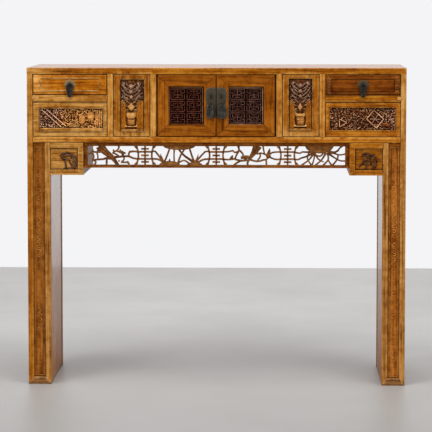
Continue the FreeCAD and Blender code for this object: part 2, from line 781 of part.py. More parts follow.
cap_faces = [stroke_face(bracket_field, stroke) for stroke in cap_shares]
cap_carving = carved("bracket_carving", cap_faces, bracket_relief_deep, bracket_relief_y)
bracket_left = fuse("bracket_panel_left", [bracket_panel, cap_carving])
left_and_right("bracket_panel", bracket_left)

inner_x = size.bracket_wide - size.bracket_member
upper_z = size.bracket_tall - size.bracket_member
low_outer = (size.bracket_wide, 0)
high_outer = (size.bracket_wide, size.bracket_tall)
low_inner = (inner_x, size.bracket_member)
high_inner = (inner_x, upper_z)
bracket_outlines = {
    "head": [(0, upper_z), high_inner, high_outer, (0, size.bracket_tall)],
    "stile": [low_inner, low_outer, high_outer, high_inner],
    "foot": [(0, 0), low_outer, low_inner, (0, size.bracket_member)],
}
bracket_members = []
for name, corners in bracket_outlines.items():
    member = board("bracket_" + name, bracket_at, corners, size.member_deep)
    bracket_members.append(cut_by("bracket_" + name + "_member", member, [bracket_panel]))
bracket_frame_left = group("bracket_frame_left", bracket_members)
keep("bracket_frame_right", mirrored("bracket_frame_right", bracket_frame_left))

board_long = size.table_depth - size.member_deep - size.bracket_board
side_x = bracket_in - size.bracket_board
side_board_span = (size.bracket_board, board_long, size.bracket_tall)
inner_board = box("bracket_side", (side_x, frame_back, bracket_z), side_board_span)
under_span = (size.bracket_wide - size.bracket_board, board_long, size.bracket_board)
under_board = box("bracket_under", (leg_in, frame_back, bracket_z), under_span)
rear_board_at = (leg_in, back - size.bracket_board, bracket_z)
rear_board_span = (size.bracket_wide, size.bracket_board, size.bracket_tall)
rear_board = box("bracket_rear", rear_board_at, rear_board_span)
bracket_boards = [inner_board, under_board, rear_board]
board_twins = [mirrored(item.Name + "_twin", item) for item in bracket_boards]
group("bracket_boards", bracket_boards + board_twins)

# The stiles of the legs take the strips, the cheek and the bracket panel
front_stile_takes = [leg_strip, cheek, bracket_left, case_floor]
front_stile = cut_by("front_stile", leg_stile("front_stile", front, True), front_stile_takes)
rear_stile_takes = [rear_strip, cheek, case_floor]
rear_stile = cut_by("rear_stile", leg_stile("rear_stile", rear_front, False), rear_stile_takes)
with_twin("leg_stiles_front", front_stile)
with_twin("leg_stiles_back", rear_stile)

# Long rails of the case, front and back
case_rail_at = (bay_start, front, case_foot)
case_front_rail = rail_along_x("case_front_rail", case_rail_at, inner_width, size.case_rail_tall)
pivot_x = door_start + size.door_gap + size.door_thick / 2
pivot_y = front + size.door_thick / 2
socket_radius = size.pivot_radius + size.pivot_gap
low_socket_at = (pivot_x, pivot_y, case_sill + size.door_gap - size.pivot_long)
high_socket_at = (pivot_x, pivot_y, top_under - size.cut_overrun)
low_socket_long = size.pivot_long + size.cut_overrun
low_socket = rod("low_socket", low_socket_at, socket_radius, low_socket_long)
high_socket = rod("high_socket", high_socket_at, socket_radius, low_socket_long - size.door_gap)
end_pieces = [parts["case_rails_end"], parts["case_panels_end"], parts["leg_panels_end"]]
front_cutters = [carved_left, parts["carved_panel_right"], vase_panel, parts["vase_panel_right"]]
front_cutters += [leg_strip, parts["leg_panel_front_right"], parts["leg_stiles_front"], bay_posts]
front_cutters += [case_floor, parts["partitions"], low_socket, mirrored("low_socket_twin", low_socket)]
front_cutters += end_pieces
case_front_rail = keep("case_rail_front", cut_by("case_rail_front", case_front_rail, front_cutters))

case_rear_at = (bay_start, rear_front, case_foot)
case_rear_rail = rail_along_x("case_rear_rail", case_rear_at, inner_width, size.case_rail_tall)
rear_cutters = [case_back, case_floor, parts["leg_panels_back"], parts["leg_stiles_back"]]
rear_cutters += [parts["partitions"]] + end_pieces
case_rear_rail = keep("case_rail_back", cut_by("case_rail_back", case_rear_rail, rear_cutters))

post_cutters = [leg_strip, leg_end, case_end, carved_left, case_floor, foot_end]
post_cutters += [case_end_rail, case_front_rail, drawer_rail]
front_post = cut_by("front_corner", corner_post("front_corner", front, True), post_cutters)
left_and_right("corner_post_front", front_post)
rear_post_cutters = [rear_strip, leg_end, case_end, case_back, case_floor, foot_end]
rear_post_cutters += [case_end_rail, case_rear_rail, outer_runner]
rear_post = cut_by("rear_corner", corner_post("rear_corner", rear_front, False), rear_post_cutters)
with_twin("corner_posts_back", rear_post)

# Top: a mitred frame with a flush panel
top_panel_x = left + size.top_rail_wide - size.groove_deep
top_panel_y = front + size.top_rail_wide - size.groove_deep
top_panel_wide = size.table_width - 2 * size.top_rail_wide + 2 * size.groove_deep
top_panel_deep = size.table_depth - 2 * size.top_rail_wide + 2 * size.groove_deep
top_at = (top_panel_x, top_panel_y, size.table_height - size.top_panel_thick)
top_panel_span = (top_panel_wide, top_panel_deep, size.top_panel_thick)
top_panel = keep("top_panel", box("top_panel", top_at, top_panel_span))


def top_rail(name, corners, cutters, eased=False):
    """A member of the top frame, mitred in plan and padded up."""
    body = new_body(name, (left, front, top_under))
    sketch = new_sketch(body, "XY_Plane")
    polygon(sketch, corners)
    pad(body, sketch, size.top_rail_tall)
    if eased:
        soften(body, size.edge_ease, "x", top_only=True)
    return cut_by(name + "_rail", body, [top_panel] + cutters)


near = size.top_rail_wide
far_x = size.table_width - size.top_rail_wide
far_y = size.table_depth - size.top_rail_wide
front_outline = [(0, 0), (size.table_width, 0), (far_x, near), (near, near)]
rear_outline = [(0, size.table_depth), (near, far_y), (far_x, far_y)]
rear_outline.append((size.table_width, size.table_depth))
end_outline = [(0, 0), (near, near), (near, far_y), (0, size.table_depth)]
high_sockets = [high_socket, mirrored("high_socket_twin", high_socket)]
front_posts = [front_post, parts["corner_post_front_right"]]
front_takes = front_posts + [bay_posts, parts["carved_panel_left"], vase_panel, parts["vase_panel_right"]]
top_front = top_rail("top_front", front_outline, front_takes + high_sockets, eased=True)
keep("top_rail_front", top_front)
rear_takes = [parts["corner_posts_back"], case_back]
keep("top_rail_back", top_rail("top_rear", rear_outline, rear_takes))
end_takes = [front_post, rear_post, case_end, case_back]
top_end = top_rail("top_end", end_outline, end_takes)
with_twin("top_rails_end", top_end)

# Pierced apron: a thin mitred frame and one pierced board
apron_x = bracket_in
apron_wide = -2 * bracket_in
apron_z = case_foot - size.apron_tall
apron_at = (apron_x, front + size.apron_setback, apron_z)
right_x = apron_wide - size.apron_stile
head_z = size.apron_tall - size.apron_top_rail
outer_corners = [(0, 0), (apron_wide, 0), (apron_wide, size.apron_tall), (0, size.apron_tall)]
inner_corners = [(size.apron_stile, size.apron_foot_rail), (right_x, size.apron_foot_rail)]
inner_corners += [(right_x, head_z), (size.apron_stile, head_z)]
apron_members = []
for number, name in enumerate(("foot", "right", "head", "left")):
    following = (number + 1) % len(outer_corners)
    corners = [outer_corners[number], outer_corners[following]]
    corners += [inner_corners[following], inner_corners[number]]
    apron_members.append(board("apron_" + name, apron_at, corners, size.apron_thick))
group("apron_frame", apron_members)

fret_x = apron_x + size.apron_stile
fret_z = apron_z + size.apron_foot_rail
fret_wide = apron_wide - 2 * size.apron_stile
fret_tall = size.apron_tall - size.apron_top_rail - size.apron_foot_rail
fret_outer = (float(fret_x), float(fret_z), float(fret_wide), float(fret_tall))
border = float(size.fret_border)
fret_inner = (
    fret_outer[0] + border,
    fret_outer[1] + border,
    fret_outer[2] - 2 * border,
    fret_outer[3] - 2 * border,
)
pitch = float(size.divider_pitch)
half_divider = float(size.divider_wide) / 2
plum_field = (fret_inner[0], fret_inner[1], -pitch - half_divider - fret_inner[0], fret_inner[3])
orchid_field = (half_divider - pitch, fret_inner[1], pitch - 2 * half_divider, fret_inner[3])
bamboo_field = (half_divider,) + orchid_field[1:]
daisy_field = (pitch + half_divider,) + plum_field[1:]

plum_shares = [
    ((0.24, 1.03), (0.34, 0.72), (0.49, 0.39), (0.42, 0.30, 0.22)),
    ((0.49, 0.39), (0.55, 0.20), (0.61, -0.04), (0.22, 0.16, 0.14)),
    ((0.48, 0.38), (0.66, 0.43), (0.85, 0.46), (0.14, 0.09, 0.09)),
    ((0.83, 0.45), (0.92, 0.35), (1.02, 0.30), (0.09, 0.08, 0.08)),
    ((0.83, 0.43), (0.83, 0.57), (0.85, 0.70), (0.08, 0.08, 0.09)),
    ((0.84, 0.69), (0.93, 0.71), (1.02, 0.69), (0.10, 0.08, 0.08)),
    ((0.70, 0.42), (0.71, 0.55), (0.69, 0.74), (0.07, 0.12, 0.08)),
    ((0.63, 0.70), (0.70, 0.66), (0.77, 0.60), (0.06, 0.10, 0.06)),
    ((0.50, 0.63), (0.58, 0.73), (0.68, 0.63), (0.08, 0.08, 0.08)),
    ((0.50, 0.62), (0.58, 0.55), (0.64, 0.42), (0.06, 0.07, 0.06)),
    ((0.63, 1.03), (0.62, 0.85), (0.56, 0.71), (0.09, 0.08, 0.07)),
    ((0.34, 0.72), (0.21, 0.67), (0.08, 0.69), (0.10, 0.08, 0.08)),
    ((0.10, 0.68), (0.04, 0.61), (-0.03, 0.58), (0.08, 0.07, 0.06)),
    ((0.17, 0.68), (0.20, 0.50), (0.20, 0.28), (0.07, 0.06, 0.06)),
    ((0.08, 0.66), (0.12, 0.45), (0.09, 0.25), (0.07, 0.07, 0.07)),
    ((0.08, 0.26), (0.20, 0.27), (0.33, 0.30), (0.07, 0.08, 0.08)),
    ((0.31, 0.29), (0.37, 0.34), (0.46, 0.33), (0.09, 0.10, 0.12)),
    ((0.38, 0.35), (0.38, 0.16), (0.38, -0.04), (0.06, 0.09, 0.06)),
    ((0.10, 0.27), (0.16, 0.13), (0.12, -0.04), (0.07, 0.08, 0.07)),
    ((0.73, 0.42), (0.73, 0.27), (0.68, 0.14), (0.06, 0.07, 0.09)),
    ((0.67, 0.14), (0.75, 0.12), (0.82, 0.15), (0.09, 0.07, 0.10)),
    ((0.80, 0.15), (0.83, 0.05), (0.82, -0.04), (0.10, 0.08, 0.07)),
]
orchid_mounds_share = [
    ((0.17, 1.02), (0.47, 0.79), (0.78, 1.02)),
    ((0.10, -0.03), (0.30, 0.20), (0.50, -0.03)),
    ((0.60, -0.03), (0.75, 0.15), (0.90, -0.03)),
]
orchid_shares = [
    ((0.19, 0.12), (0.11, 0.46), (0.04, 0.72), (0.11, 0.08, 0.07)),
    ((0.05, 0.71), (0.01, 0.72), (-0.04, 0.69), (0.07, 0.07, 0.07)),
    ((0.19, 0.12), (0.16, 0.36), (0.13, 0.58), (0.09, 0.07, 0.02)),
    ((0.20, 0.12), (0.09, 0.29), (-0.03, 0.31), (0.09, 0.08, 0.08)),
    ((0.20, 0.12), (0.25, 0.45), (0.30, 0.86), (0.09, 0.08, 0.08)),
    ((0.28, 0.12), (0.30, 0.22), (0.30, 0.33), (0.12, 0.08, 0.02)),
    ((0.385, 0.84), (0.38, 0.50), (0.385, 0.12), (0.08, 0.06, 0.08)),
    ((0.45, 0.08), (0.50, 0.50), (0.58, 0.88), (0.09, 0.08, 0.08)),
    ((0.46, 0.84), (0.57, 0.48), (0.75, 0.12), (0.07, 0.09, 0.12)),
    ((0.46, 0.10), (0.56, 0.23), (0.66, 0.06), (0.07, 0.07, 0.07)),
    ((0.75, 0.12), (0.71, 0.42), (0.66, 0.88), (0.10, 0.08, 0.08)),
    ((0.76, 0.12), (0.80, 0.36), (0.82, 0.57), (0.10, 0.07, 0.02)),
    ((0.76, 0.12), (0.87, 0.48), (0.94, 0.70), (0.10, 0.08, 0.08)),
    ((0.93, 0.69), (0.98, 0.72), (1.04, 0.69), (0.07, 0.07, 0.07)),
    ((0.80, 0.10), (0.91, 0.28), (1.04, 0.31), (0.10, 0.08, 0.08)),
]
bamboo_shares = [
    ((-0.04, 0.69), (0.08, 0.71), (0.16, 0.77), (0.07, 0.07, 0.07)),
    ((0.15, 0.78), (0.19, 0.67), (0.25, 0.72), (0.07, 0.07, 0.07)),
    ((0.24, 0.70), (0.27, 0.76), (0.31, 0.70), (0.07, 0.08, 0.07)),
    ((0.26, 1.03), (0.26, 0.90), (0.28, 0.73), (0.13, 0.09, 0.08)),
    ((0.26, 0.74), (0.22, 0.52), (0.19, 0.28), (0.10, 0.08, 0.08)),
    ((0.29, 0.74), (0.34, 0.55), (0.32, 0.36), (0.08, 0.08, 0.09)),
    ((0.30, 0.37), (0.39, 0.42), (0.50, 0.38), (0.12, 0.15, 0.13)),
    ((0.38, 0.38), (0.38, 0.30), (0.38, 0.24), (0.14, 0.14, 0.12)),
    ((-0.04, 0.31), (0.08, 0.28), (0.20, 0.33), (0.08, 0.07, 0.08)),
    ((0.12, 0.31), (0.14, 0.42), (0.15, 0.52), (0.14, 0.11, 0.02)),
    ((0.19, 0.30), (0.33, 0.22), (0.47, 0.28), (0.08, 0.08, 0.08)),
    ((0.46, 0.28), (0.60, 0.19), (0.72, 0.28), (0.08, 0.08, 0.08)),
    ((0.71, 0.27), (0.76, 0.30), (0.80, 0.42), (0.08, 0.07, 0.08)),
    ((0.17, -0.04), (0.24, 0.13), (0.33, 0.24), (0.09, 0.08, 0.07)),
    ((0.43, -0.04), (0.42, 0.12), (0.46, 0.30), (0.09, 0.09, 0.08)),
    ((0.60, 1.03), (0.54, 0.68), (0.46, 0.35), (0.42, 0.26, 0.13)),
    ((0.70, 1.03), (0.71, 0.80), (0.73, 0.56), (0.08, 0.07, 0.07)),
    ((0.58, 0.58), (0.66, 0.63), (0.74, 0.56), (0.08, 0.07, 0.07)),
    ((0.73, 0.56), (0.80, 0.55), (0.87, 0.67), (0.08, 0.08, 0.07)),
    ((0.86, 0.66), (0.94, 0.69), (1.04, 0.69), (0.07, 0.07, 0.07)),
    ((0.79, 0.56), (0.81, 0.72), (0.82, 0.88), (0.14, 0.12, 0.02)),
    ((0.64, 0.60), (0.65, 0.45), (0.60, 0.24), (0.07, 0.07, 0.07)),
    ((0.76, 0.40), (0.79, 0.44), (0.84, 0.44), (0.12, 0.16, 0.12)),
    ((0.80, 0.56), (0.79, 0.50), (0.80, 0.42), (0.08, 0.08, 0.08)),
    ((0.82, 0.42), (0.92, 0.30), (1.04, 0.31), (0.08, 0.07, 0.08)),
    ((0.75, 0.32), (0.76, 0.14), (0.76, -0.04), (0.08, 0.08, 0.09)),
]
daisy_mounds_share = [((0.18, 1.02), (0.48, 0.62), (0.78, 1.02))]
daisy_shares = [
    ((0.40, 0.72), (0.24, 0.69), (0.13, 0.70), (0.12, 0.08, 0.07)),
    ((0.14, 0.71), (0.08, 0.63), (-0.03, 0.69), (0.07, 0.07, 0.07)),
    ((0.40, 0.70), (0.22, 0.46), (0.10, 0.36), (0.12, 0.08, 0.07)),
    ((0.11, 0.37), (0.05, 0.29), (-0.03, 0.31), (0.07, 0.07, 0.07)),
    ((0.27, 0.64), (0.24, 0.33), (0.33, -0.04), (0.07, 0.07, 0.07)),
    ((0.38, 0.66), (0.27, 0.28), (0.11, -0.04), (0.10, 0.07, 0.08)),
    ((0.39, 0.66), (0.37, 0.30), (0.33, -0.04), (0.09, 0.06, 0.08)),
    ((0.39, 0.62), (0.46, 0.32), (0.57, 0.16), (0.08, 0.07, 0.05)),
    ((0.41, 0.52), (0.50, 0.48), (0.58, 0.68), (0.07, 0.07, 0.07)),
    ((0.62, 0.66), (0.52, 0.26), (0.39, -0.04), (0.10, 0.07, 0.08)),
    ((0.64, 0.66), (0.66, 0.30), (0.55, -0.04), (0.10, 0.07, 0.08)),
    ((0.66, 0.42), (0.67, 0.22), (0.74, -0.04), (0.07, 0.07, 0.08)),
    ((0.64, 0.66), (0.77, 0.42), (0.84, 0.31), (0.12, 0.07, 0.07)),
    ((0.83, 0.32), (0.91, 0.23), (1.02, 0.22), (0.07, 0.06, 0.07)),
    ((0.64, 0.68), (0.78, 0.62), (0.87, 0.54), (0.12, 0.07, 0.07)),
    ((0.86, 0.55), (0.93, 0.55), (1.02, 0.60), (0.07, 0.06, 0.07)),
    ((0.64, 0.74), (0.78, 0.68), (0.87, 0.80), (0.14, 0.09, 0.08)),
    ((0.86, 0.78), (0.89, 0.90), (0.95, 1.03), (0.08, 0.07, 0.09)),
    ((0.86, 0.56), (0.84, 0.30), (0.74, -0.04), (0.07, 0.07, 0.08)),
]
short_bar_shares = [0.15, 0.50, 0.85]
short_bar_half_share = 0.24
link_shares = [0.31, 0.69]
bow_shares = [(-0.54, 1.03), (-0.42, 0.50), (-0.54, -0.03)]
hook_shares = [(-0.66, 1.03), (-0.58, 0.93), (-0.50, 0.90)]


def divider_faces(middle_x):
    """A longevity sign between two bowed uprights, tied to them by two links."""
    half = float(size.divider_bar) / 2
    tall = fret_inner[3]
    wide = float(size.divider_wide)
    unit = (middle_x, fret_inner[1], wide, tall)
    bar_share = half / tall
    stem_share = half / wide
    width_shares = (2 * bar_share,) * 3
    faces = [box_face(unit, (-stem_share, -bar_share), (stem_share, 1 + bar_share))]
    for level in short_bar_shares:
        low = (-short_bar_half_share, level - bar_share)
        high = (short_bar_half_share, level + bar_share)
        faces.append(box_face(unit, low, high))
    for level in link_shares:
        faces.append(box_face(unit, (-0.5, level - bar_share), (0.5, level + bar_share)))
    for side in (1, -1):
        upright = tuple((share_x * side, share_z) for share_x, share_z in bow_shares)
        faces.append(stroke_face(unit, upright + (width_shares,)))
        for flip in (False, True):
            hook = tuple((x * side, 1 - z if flip else z) for x, z in hook_shares)
            faces.append(stroke_face(unit, hook + (width_shares,)))
    return faces


fret_weight = 1.2
fret_limits = box_face(fret_outer, (0, 0), (1, 1))
fret_faces = [fret_limits.cut(box_face(fret_inner, (0, 0), (1, 1)))]
fields = [
    (plum_field, plum_shares, []),
    (orchid_field, orchid_shares, orchid_mounds_share),
    (bamboo_field, bamboo_shares, []),
    (daisy_field, daisy_shares, daisy_mounds_share),
]
for field, strokes, mounds in fields:
    for stroke in strokes:
        fret_faces.append(stroke_face(field, stroke, fret_weight))
    for mound in mounds:
        fret_faces.append(mound_face(field, mound))
for middle_x in (-pitch, 0, pitch):
    fret_faces += divider_faces(middle_x)
fret_y = float(front + size.apron_setback + size.fret_setback)
fretwork = carved("apron_fretwork", fret_faces, float(size.fret_board), fret_y, fret_limits)
keep("apron_fretwork", fretwork)

# Metal: a plate, a ring staple and a pull that hangs in the ring
ring_sides = 12
hole_sides = 12
pull_runs = 6
ring_y = front - size.plate_thick - size.ring_gap - size.ring_radius - size.ring_half


def staple(name, x, z):
    """A ring that stands upright out of the plate, with a leg into the wood."""
    ring = new_body(name + "_ring", (x - size.ring_half, ring_y, z))
    section = new_sketch(ring, "YZ_Plane")
    polygon(section, round_corners(size.ring_radius + size.ring_half, ring_sides))
    polygon(section, round_corners(size.ring_radius - size.ring_half, ring_sides))
    pad(ring, section, 2 * size.ring_half)
    half = size.staple_wide / 2
    leg_at = (x - half, ring_y + size.ring_radius, z - half)
    leg_span = (size.staple_wide, size.ring_half + size.staple_leg, size.staple_wide)
    return fuse(name, [ring, box(name + "_leg", leg_at, leg_span)])


def pull(label, x, z, end_radius, drop):
    """A flat drop pull: a round head with the hole, widening to a round end."""
    at = (x, ring_y - size.pull_thick / 2, z - size.ring_radius)
    body = new_body(label, at)
    outline = new_sketch(body, "XZ_Plane")
    head = []
    tail = []
    for number in range(pull_runs + 1):
        angle = math.pi * number / pull_runs
        across = math.cos(angle)
        rise = math.sin(angle)
        head.append((part_of(size.pull_top_radius, across), part_of(size.pull_top_radius, rise)))
        tail.append((part_of(end_radius, -across), -drop - part_of(end_radius, rise)))
    polygon(outline, head + tail)
    pad(body, outline, size.pull_thick, inward=True)
    hole = new_sketch(body, "XZ_Plane")
    polygon(hole, round_corners(size.pull_hole_radius, hole_sides))
    pocket(body, hole, size.pull_thick)
    return keep(label, body)


# Drawers
drawer_wide = size.drawer_bay_wide - 2 * size.drawer_gap
drawer_tall = size.drawer_opening_tall - 2 * size.drawer_gap
drawer_x = bay_start + size.drawer_gap
drawer_z = drawer_sill + size.drawer_gap
drawer_middle_x = bay_start + size.drawer_bay_wide / 2
drawer_ring_z = drawer_sill + size.drawer_opening_tall / 2 + size.drawer_ring_rise
drawer_low = drawer_sill + size.drawer_slide_gap
drawer_inner_y = front + size.drawer_front_thick
drawer_side_long = size.drawer_long - size.drawer_front_thick


def moulding_outline(inset, notch):
    """The outline of a drawer's moulding: a rectangle with stepped corners, or a plain one."""
    x0 = size.cartouche_margin + inset
    x1 = drawer_wide - x0
    z1 = drawer_tall - x0
    if not notch:
        return [(x0, x0), (x1, x0), (x1, z1), (x0, z1)]
    step = size.cartouche_notch
    corners = [(x0 + step, x0), (x1 - step, x0), (x1 - step, x0 + step)]
    corners += [(x1, x0 + step), (x1, z1 - step), (x1 - step, z1 - step)]
    corners += [(x1 - step, z1), (x0 + step, z1), (x0 + step, z1 - step)]
    corners += [(x0, z1 - step), (x0, x0 + step), (x0 + step, x0 + step)]
    return corners


def drawer_front(name, notch):
    corners = [(0, 0), (drawer_wide, 0), (drawer_wide, drawer_tall), (0, drawer_tall)]
    body = board(name, (drawer_x, front, drawer_z), corners, size.drawer_front_thick)
    soften(body, size.drawer_edge_ease, "x")
    sketch = new_sketch(body, "XZ_Plane")
    polygon(sketch, moulding_outline(0, notch))
    polygon(sketch, moulding_outline(size.cartouche_groove, notch))
    pocket(body, sketch, size.cartouche_deep)
    return body


lobe_shares = [1.0, 0.97, 0.84, 0.97]
lobe_count = 8


def lobed_plate(name, x, z):
    """A round plate with a scalloped edge."""
    body = new_body(name, (x, front - size.plate_thick, z))
    sketch = new_sketch(body, "XZ_Plane")
    corners = []
    count = lobe_count * len(lobe_shares)
    for number in range(count):
        angle = 2 * math.pi * number / count
        lobe = lobe_shares[number % len(lobe_shares)]
        across = part_of(size.drawer_plate_wide, lobe * math.cos(angle) / 2)
        rise = part_of(size.drawer_plate_tall, lobe * math.sin(angle) / 2)
        corners.append((across, rise))
    polygon(sketch, corners)
    pad(body, sketch, size.plate_thick, inward=True)
    return body


plate = lobed_plate("drawer_plate", drawer_middle_x, drawer_ring_z)
drawer_staple = staple("drawer_staple", drawer_middle_x, drawer_ring_z)
plate = cut_by("drawer_plate_cut", plate, [drawer_staple])

bottom_x = drawer_x + size.drawer_side_thick - size.groove_deep
bottom_at = (bottom_x, drawer_inner_y - size.groove_deep, drawer_low + size.drawer_bottom_rise)
bottom_wide = drawer_wide - 2 * size.drawer_side_thick + 2 * size.groove_deep
bottom_long = drawer_side_long + size.groove_deep - size.drawer_side_thick / 2
bottom_span = (bottom_wide, bottom_long, size.drawer_bottom_thick)
drawer_bottom = box("drawer_bottom", bottom_at, bottom_span)
drawer_side_span = (size.drawer_side_thick, drawer_side_long, size.drawer_side_tall)
near_side = box("near_side", (drawer_x, drawer_inner_y, drawer_low), drawer_side_span)
far_side_at = (drawer_x + drawer_wide - size.drawer_side_thick, drawer_inner_y, drawer_low)
far_side = box("far_side", far_side_at, drawer_side_span)
drawer_rear_y = front + size.drawer_long - size.drawer_side_thick
drawer_rear_at = (drawer_x + size.drawer_side_thick, drawer_rear_y, drawer_low)
drawer_rear_wide = drawer_wide - 2 * size.drawer_side_thick
drawer_rear_span = (drawer_rear_wide, size.drawer_side_thick, size.drawer_side_tall)
drawer_rear = box("drawer_rear", drawer_rear_at, drawer_rear_span)
drawer_walls = []
for wall in (near_side, far_side, drawer_rear):
    drawer_walls.append(cut_by(wall.Name + "_wall", wall, [drawer_bottom]))

left_front = cut_by("left_front", drawer_front("left_front", True), [drawer_bottom, drawer_staple])
keep("drawer_left_front", left_front)
left_box = group("drawer_left_box", drawer_walls)
left_bottom = keep("drawer_left_bottom", drawer_bottom)
left_plate = group("drawer_left_plate", [plate, drawer_staple])
leaf_pull = (size.leaf_pull_radius, size.leaf_pull_drop)
round_pull = (size.round_pull_radius, size.round_pull_drop)
left_pull = pull("drawer_left_pull", drawer_middle_x, drawer_ring_z, *leaf_pull)
right_blank = mirrored("right_blank", drawer_front("right_front", False))
right_staple = mirrored("drawer_staple_twin", drawer_staple)
right_bottom = keep("drawer_right_bottom", mirrored("drawer_right_bottom", left_bottom))
keep("drawer_right_front", cut_by("right_front_cut", right_blank, [right_bottom, right_staple]))
keep("drawer_right_box", mirrored("drawer_right_box", left_box))
keep("drawer_right_plate", mirrored("drawer_right_plate", left_plate))
keep("drawer_right_pull", mirrored("drawer_right_pull", left_pull))

# Doors: four mitred members round a fret panel, turning on wooden pins
door_bay_wide = -2 * door_start
door_wide = (door_bay_wide - size.door_meeting_gap) / 2 - size.door_gap
door_tall = opening_tall - 2 * size.door_gap
door_x = door_start + size.door_gap
door_z = case_sill + size.door_gap
half_thick = size.door_thick / 2
door_edge_sides = 16

blank = new_body("door_blank", (door_x, front, door_z))
slab = new_sketch(blank, "XY_Plane")
rectangle(slab, half_thick, 0, door_wide, size.door_thick)
pad(blank, slab, door_tall)
edge = new_sketch(blank, "XY_Plane")
polygon(edge, round_corners(half_thick, door_edge_sides, half_thick))
pad(blank, edge, door_tall)

lattice_x = door_x + size.door_member
lattice_z = door_z + size.door_member
lattice_wide = door_wide - 2 * size.door_member
lattice_tall = door_tall - 2 * size.door_member
lattice_back_y = front + size.lattice_recess + size.lattice_deep
lattice_at = (lattice_x - size.groove_deep, lattice_back_y, lattice_z - size.groove_deep)
lattice_back_wide = lattice_wide + 2 * size.groove_deep
lattice_back_tall = lattice_tall + 2 * size.groove_deep
lattice_back_span = (lattice_back_wide, size.lattice_thick - size.lattice_deep, lattice_back_tall)
lattice_back = box("lattice_back", lattice_at, lattice_back_span)
lattice_field = (float(lattice_x), float(lattice_z), float(lattice_wide), float(lattice_tall))
rim_width = float(size.lattice_edge)
motif_wide = (lattice_field[2] - rim_width) / 2
motif_tall = (lattice_field[3] - rim_width) / 3

# One motif, a squared longevity sign: bars from point to point as shares of its cell
motif_shares = [
    ((0.10, 0.88), (0.90, 0.88)),
    ((0.10, 0.88), (0.10, 0.62)),
    ((0.90, 0.88), (0.90, 0.62)),
    ((0.30, 0.68), (0.70, 0.68)),
    ((0.50, 0.88), (0.50, 0.28)),
    ((0.22, 0.46), (0.78, 0.46)),
    ((0.10, 0.40), (0.10, 0.12)),
    ((0.90, 0.40), (0.90, 0.12)),
    ((0.10, 0.12), (0.90, 0.12)),
    ((0.30, 0.28), (0.70, 0.28)),
]


def lattice_bar(cell, ends, half):
    """A straight bar of the fret between two points of its cell."""
    first = point_in(cell, ends[0])
    last = point_in(cell, ends[1])
    low = FreeCAD.Vector(min(first.x, last.x) - half, 0, min(first.z, last.z) - half)
    wide = abs(last.x - first.x) + 2 * half
    tall = abs(last.z - first.z) + 2 * half
    return Part.makeBox(wide, float(size.lattice_deep), tall, low)


bar_half = float(size.lattice_bar) / 2
lattice_cut = float(size.lattice_deep)
rim_share_x = rim_width / lattice_field[2]
rim_share_z = rim_width / lattice_field[3]
rim_inside = box_face(lattice_field, (rim_share_x, rim_share_z), (1 - rim_share_x, 1 - rim_share_z))
rim_face = box_face(lattice_field, (0, 0), (1, 1)).cut(rim_inside)
lattice_bars = [rim_face.extrude(FreeCAD.Vector(0, lattice_cut, 0))]
for column in range(2):
    for level in range(3):
        cell = (
            lattice_field[0] + rim_width / 2 + column * motif_wide,
            lattice_field[1] + rim_width / 2 + level * motif_tall,
            motif_wide,
            motif_tall,
        )
        for ends in motif_shares:
            lattice_bars.append(lattice_bar(cell, ends, bar_half))
        if column:
            lattice_bars.append(lattice_bar(cell, ((0, 0), (0, 1)), bar_half))
        if level:
            lattice_bars.append(lattice_bar(cell, ((0, 0), (1, 0)), bar_half))
lattice = doc.addObject("Part::Feature", "lattice")
lattice.Shape = lattice_bars[0].multiFuse(lattice_bars[1:]).removeSplitter()
lattice_front = FreeCAD.Vector(0, float(front + size.lattice_recess), 0)
lattice.Placement = FreeCAD.Placement(lattice_front, FreeCAD.Rotation())
door_fret = fuse("door_fret", [lattice_back, lattice])
left_and_right("door_fret", door_fret)

door_outer = [(0, 0), (door_wide, 0), (door_wide, door_tall), (0, door_tall)]
door_right_x = door_wide - size.door_member
door_head_z = door_tall - size.door_member
door_inner = [(size.door_member, size.door_member), (door_right_x, size.door_member)]
door_inner += [(door_right_x, door_head_z), (size.door_member, door_head_z)]
prisms = {}
for number, name in enumerate(("foot", "meeting", "head", "pivot")):
    following = (number + 1) % len(door_outer)
    corners = [door_outer[number], door_outer[following]]
    corners += [door_inner[following], door_inner[number]]
    common = doc.addObject("Part::Common", "door_" + name)
    common.Base = blank
    common.Tool = board("door_prism_" + name, (door_x, front, door_z), corners, size.door_thick)
    prisms[name] = common

pin_at = (pivot_x, pivot_y, door_z - size.pivot_long + size.door_gap / 2)
pin = rod("door_pin", pin_at, size.pivot_radius, door_tall + 2 * size.pivot_long - size.door_gap)
pivot_stile = fuse("pivot_stile", [prisms["pivot"], pin])
pivot_stile = cut_by("door_pivot_stile", pivot_stile, [door_fret])
left_and_right("door_pivot_stile", pivot_stile)

lock_x = door_x + door_wide - size.lock_ring_inset
lock_z = door_z + size.lock_ring_height
lock_staple = staple("lock_staple", lock_x, lock_z)
door_ring_x = door_x + door_wide - size.door_ring_inset
door_ring_z = door_z + size.door_ring_height
pull_staple = staple("pull_staple", door_ring_x, door_ring_z)

meeting = cut_by("door_meeting_stile", prisms["meeting"], [door_fret, lock_staple, pull_staple])
left_and_right("door_meeting_stile", meeting)
door_rails = []
for name in ("foot", "head"):
    door_rails.append(cut_by("door_rail_" + name, prisms[name], [door_fret, pivot_stile]))
left_rails = group("door_rails_left", door_rails)
keep("door_rails_right", mirrored("door_rails_right", left_rails))

